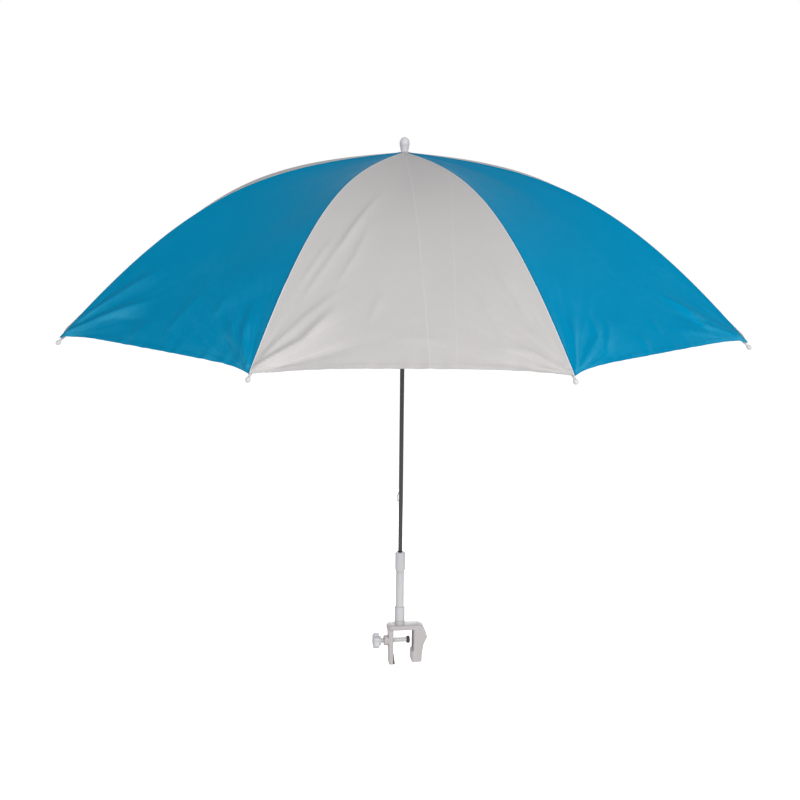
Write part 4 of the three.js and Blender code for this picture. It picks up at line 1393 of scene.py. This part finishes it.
def makeClampBody():
    top, foot = clamp["bridgeHeight"], -clamp["armLength"]
    lipTop = foot + clamp["lipHeight"]
    outer = [(clamp["armReach"] * reach, top - (top - foot) * drop)
             for reach, drop in zip(clamp["reachShares"], clamp["dropShares"])]
    half, arm, lip = clamp["half"], clamp["armInner"], clamp["lipInner"]
    piece = cutPlate("clampFrame", [(arm, top), (clamp["armTop"], top), *outer, (lip, foot), (lip, lipTop),
                                    (arm, lipTop + clamp["lipSlope"])],
                     -half, half, edge=clamp["edge"], segments=3, angle=28)
    corner, left = clamp["bridgeCorner"], clamp["bridgeLeft"]
    grooveEnd = arm + clamp["grooveDepth"]
    plan = [(grooveEnd, half)]
    for centre, start in ((half - corner, 90), (corner - half, 180)):
        plan += [(left + corner + corner * math.cos(math.radians(start + 9 * n)),
                  centre + corner * math.sin(math.radians(start + 9 * n))) for n in range(11)]
    plan.append((grooveEnd, -half))
    bridge = traceLine("bridge", [(x * mm, y * mm, 0) for x, y in plan], True)
    drawOut((0, 0, top * mm))
    softenEdges(bridge, clamp["edge"] * mm, 3, 50)
    leftOuter, leftInner, leftFoot = clamp["leftOuter"], clamp["leftInner"], clamp["leftFoot"]
    leftArm = cutPlate("leftArm", [(leftOuter, top / 2), (leftOuter + clamp["leftTaper"], leftFoot),
                                   (leftInner, leftFoot), (leftInner, top / 2)],
                       -clamp["leftHalf"], clamp["leftHalf"], edge=clamp["edge"], segments=3)
    bossEnd, height = clamp["bossReach"], clamp["screwHeight"]
    boss = addRod("screwBoss", clamp["bossRadius"], (bossEnd, 0, height), (leftInner - 0.3, 0, height), 48, edge=0.9)
    neckBoss = addRod("neckBoss", clamp["socketBoss"], (0, 0, top / 2), (0, 0, clamp["socketTop"]), 64, edge=0.4)
    for part in (bridge, leftArm, boss, neckBoss):
        combine(piece, part, "UNION")
    drill(piece, clamp["socket"], (0, 0, clamp["socketFloor"]), (0, 0, clamp["socketTop"] + 5), 48)
    combine(piece, addBox("groove", (0, -clamp["grooveHalf"], lipTop + clamp["lipSlope"]),
                          (grooveEnd, clamp["grooveHalf"], -clamp["lipSlope"])),
            "DIFFERENCE")
    drill(piece, clamp["screwHole"], (bossEnd - 5, 0, height), (0, 0, height), 48)
    combine(piece, addBox("stripSeat", (leftInner - clamp["stripSeat"], -clamp["stripHalf"], -60),
                          (0, clamp["stripHalf"], clamp["stripTop"])), "DIFFERENCE")
    shade(piece, 30)
    dress(piece, warmPlastic, "clamp", "clamp_body")


# Rubber grip on the left arm, with ridges across its face
strip = {
    "half": 6.0,
    "topThick": 1.6,
    "footThick": 3.4,
    "ridges": 8,
    "ridgeDepth": 0.45,
}


def makeStrip():
    low, high = nodeBox("clamp_grip_strip")
    back = low.x
    outline = [(back, low.z)]
    for n in range(strip["ridges"]):
        for share, sink in ((0.0, strip["ridgeDepth"]), (0.25, 0), (0.75, 0), (1.0, strip["ridgeDepth"])):
            rise = (n + share) / strip["ridges"]
            thick = strip["footThick"] + (strip["topThick"] - strip["footThick"]) * rise
            outline.append((back + thick - sink, low.z + (high.z - low.z) * rise))
    outline.append((back, high.z))
    piece = cutPlate("gripRubber", outline, -strip["half"], strip["half"], edge=0.15)
    dress(piece, darkRubber, "clamp", "clamp_grip_strip")


# Pad, threaded screw and six-lobed knob, each turned about its own axis and laid along X
screw = {
    "padRadius": 5.5,
    "padFace": 1.2,
    "tipHole": 2.3,
    "tipHoleDepth": 2.8,
    "radius": 4.0,
    "root": 3.1,
    "pitch": 3.0,
    "tip": 2.0,
    "lobes": 6,
    "knobReach": 12.0,
    "knobWaist": 9.8,
    "collar": 7.0,
    "collarLength": 3.0,
    "bore": 4.3,
    "faceRadius": 6.2,
    "faceDepth": 0.9,
}


def makePad():
    low, high = nodeBox("clamp_pressure_pad")
    near, far, radius = low.x, high.x, screw["padRadius"]
    hole, floor, face = screw["tipHole"], near + screw["tipHoleDepth"], screw["padFace"]
    profile = [(0, floor), (hole, floor), (hole, near), (radius - 0.5, near), (radius, near + 0.5),
               (radius, far - 0.9), (radius - 0.3, far - 0.25), (radius - 0.9, far), (radius - 1.7, far),
               (radius - 1.9, far - 0.5), (face + 0.2, far - 0.5), (face, far - 0.1), (0, far - 0.1)]
    piece = turnPiece("padRubber", profile, closed=False, edge=0.1)
    layAlongX(piece, clamp["screwHeight"])
    dress(piece, darkRubber, "pressure_pad", "clamp_pressure_pad")


# The open end of a mesh, above or below a height, is closed to a point
def closeEnd(piece, middle, above):
    bpy.ops.mesh.select_all(action="DESELECT")
    bpy.ops.mesh.select_non_manifold(extend=False, use_wire=False, use_boundary=True, use_multi_face=False,
                                     use_non_contiguous=False, use_verts=False)
    bpy.ops.object.mode_set(mode="OBJECT")
    vertices, edges = piece.data.vertices, piece.data.edges
    for edge in edges:
        if edge.select and (min(vertices[v].co.z for v in edge.vertices) > middle) != above:
            edge.select = False
    chosen = {v for edge in edges if edge.select for v in edge.vertices}
    for vertex in vertices:
        vertex.select = vertex.index in chosen
    bpy.ops.object.mode_set(mode="EDIT")
    bpy.ops.mesh.extrude_edges_move(TRANSFORM_OT_translate={"value": (0, 0, 0)})
    bpy.ops.mesh.merge(type="CENTER")


def makeScrew():
    low, high = nodeBox("clamp_screw")
    start, shoulder = low.x, nodeBox("clamp_pressure_pad")[0].x - 0.3
    pitch, root, reach = screw["pitch"], screw["root"], screw["radius"]
    turns = math.ceil((shoulder - start) / pitch) + 2
    profile = [(root, 0), (root, 0.22), (reach - 0.12, 0.36), (reach, 0.42), (reach, 0.6), (reach - 0.12, 0.66),
               (root, 0.8), (root, 1)]
    foot = start - pitch
    piece = traceLine("screwThread", [(r * mm, 0, (foot + share * pitch) * mm) for r, share in profile])
    bpy.ops.object.mode_set(mode="OBJECT")
    thread = piece.modifiers.new("thread", "SCREW")
    thread.axis = "Z"
    thread.steps = thread.render_steps = 36
    thread.screw_offset = pitch * mm
    thread.iterations = turns
    thread.use_merge_vertices = False
    applyAll(piece)
    bpy.ops.object.mode_set(mode="EDIT")
    mergePoints()
    middle = (foot + turns * pitch / 2) * mm
    closeEnd(piece, middle, False)
    closeEnd(piece, middle, True)
    closeMesh()
    combine(piece, addRod("trim", reach + 2, (0, 0, start), (0, 0, shoulder), 32), "INTERSECT")
    combine(piece, addRod("screwTip", screw["tip"], (0, 0, shoulder - 1), (0, 0, high.x), 32, edge=0.25), "UNION")
    shade(piece, 40)
    layAlongX(piece, clamp["screwHeight"])
    dress(piece, whitePlastic, "screw", "clamp_screw")


def makeKnob():
    low, high = nodeBox("clamp_knob")
    near, far = low.x, high.x - screw["collarLength"]
    steps = screw["lobes"] * 12
    outline = []
    middle, swing = (screw["knobReach"] + screw["knobWaist"]) / 2, (screw["knobReach"] - screw["knobWaist"]) / 2
    for n in range(steps):
        angle = 2 * math.pi * n / steps
        radius = middle + swing * math.cos(screw["lobes"] * angle)
        outline.append((radius * math.cos(angle) * mm, radius * math.sin(angle) * mm, near * mm))
    piece = traceLine("starKnob", outline, True)
    drawOut((0, 0, (far - near) * mm))
    softenEdges(piece, 1.4 * mm, 4, 50)
    combine(piece, addRod("collar", screw["collar"], (0, 0, far - 1), (0, 0, high.x), 64, edge=0.5), "UNION")
    drill(piece, screw["bore"], (0, 0, nodeBox("clamp_screw")[0].x - 0.3), (0, 0, high.x + 5), 48)
    combine(piece, addRod("faceSink", screw["faceRadius"], (0, 0, near - 2), (0, 0, near + screw["faceDepth"]), 64,
                          edge=0.35), "DIFFERENCE")
    shade(piece, 35)
    layAlongX(piece, clamp["screwHeight"])
    dress(piece, whitePlastic, "screw", "clamp_knob")


makeClampBody()
makeStrip()
makePad()
makeScrew()
makeKnob()
print("clamp made")
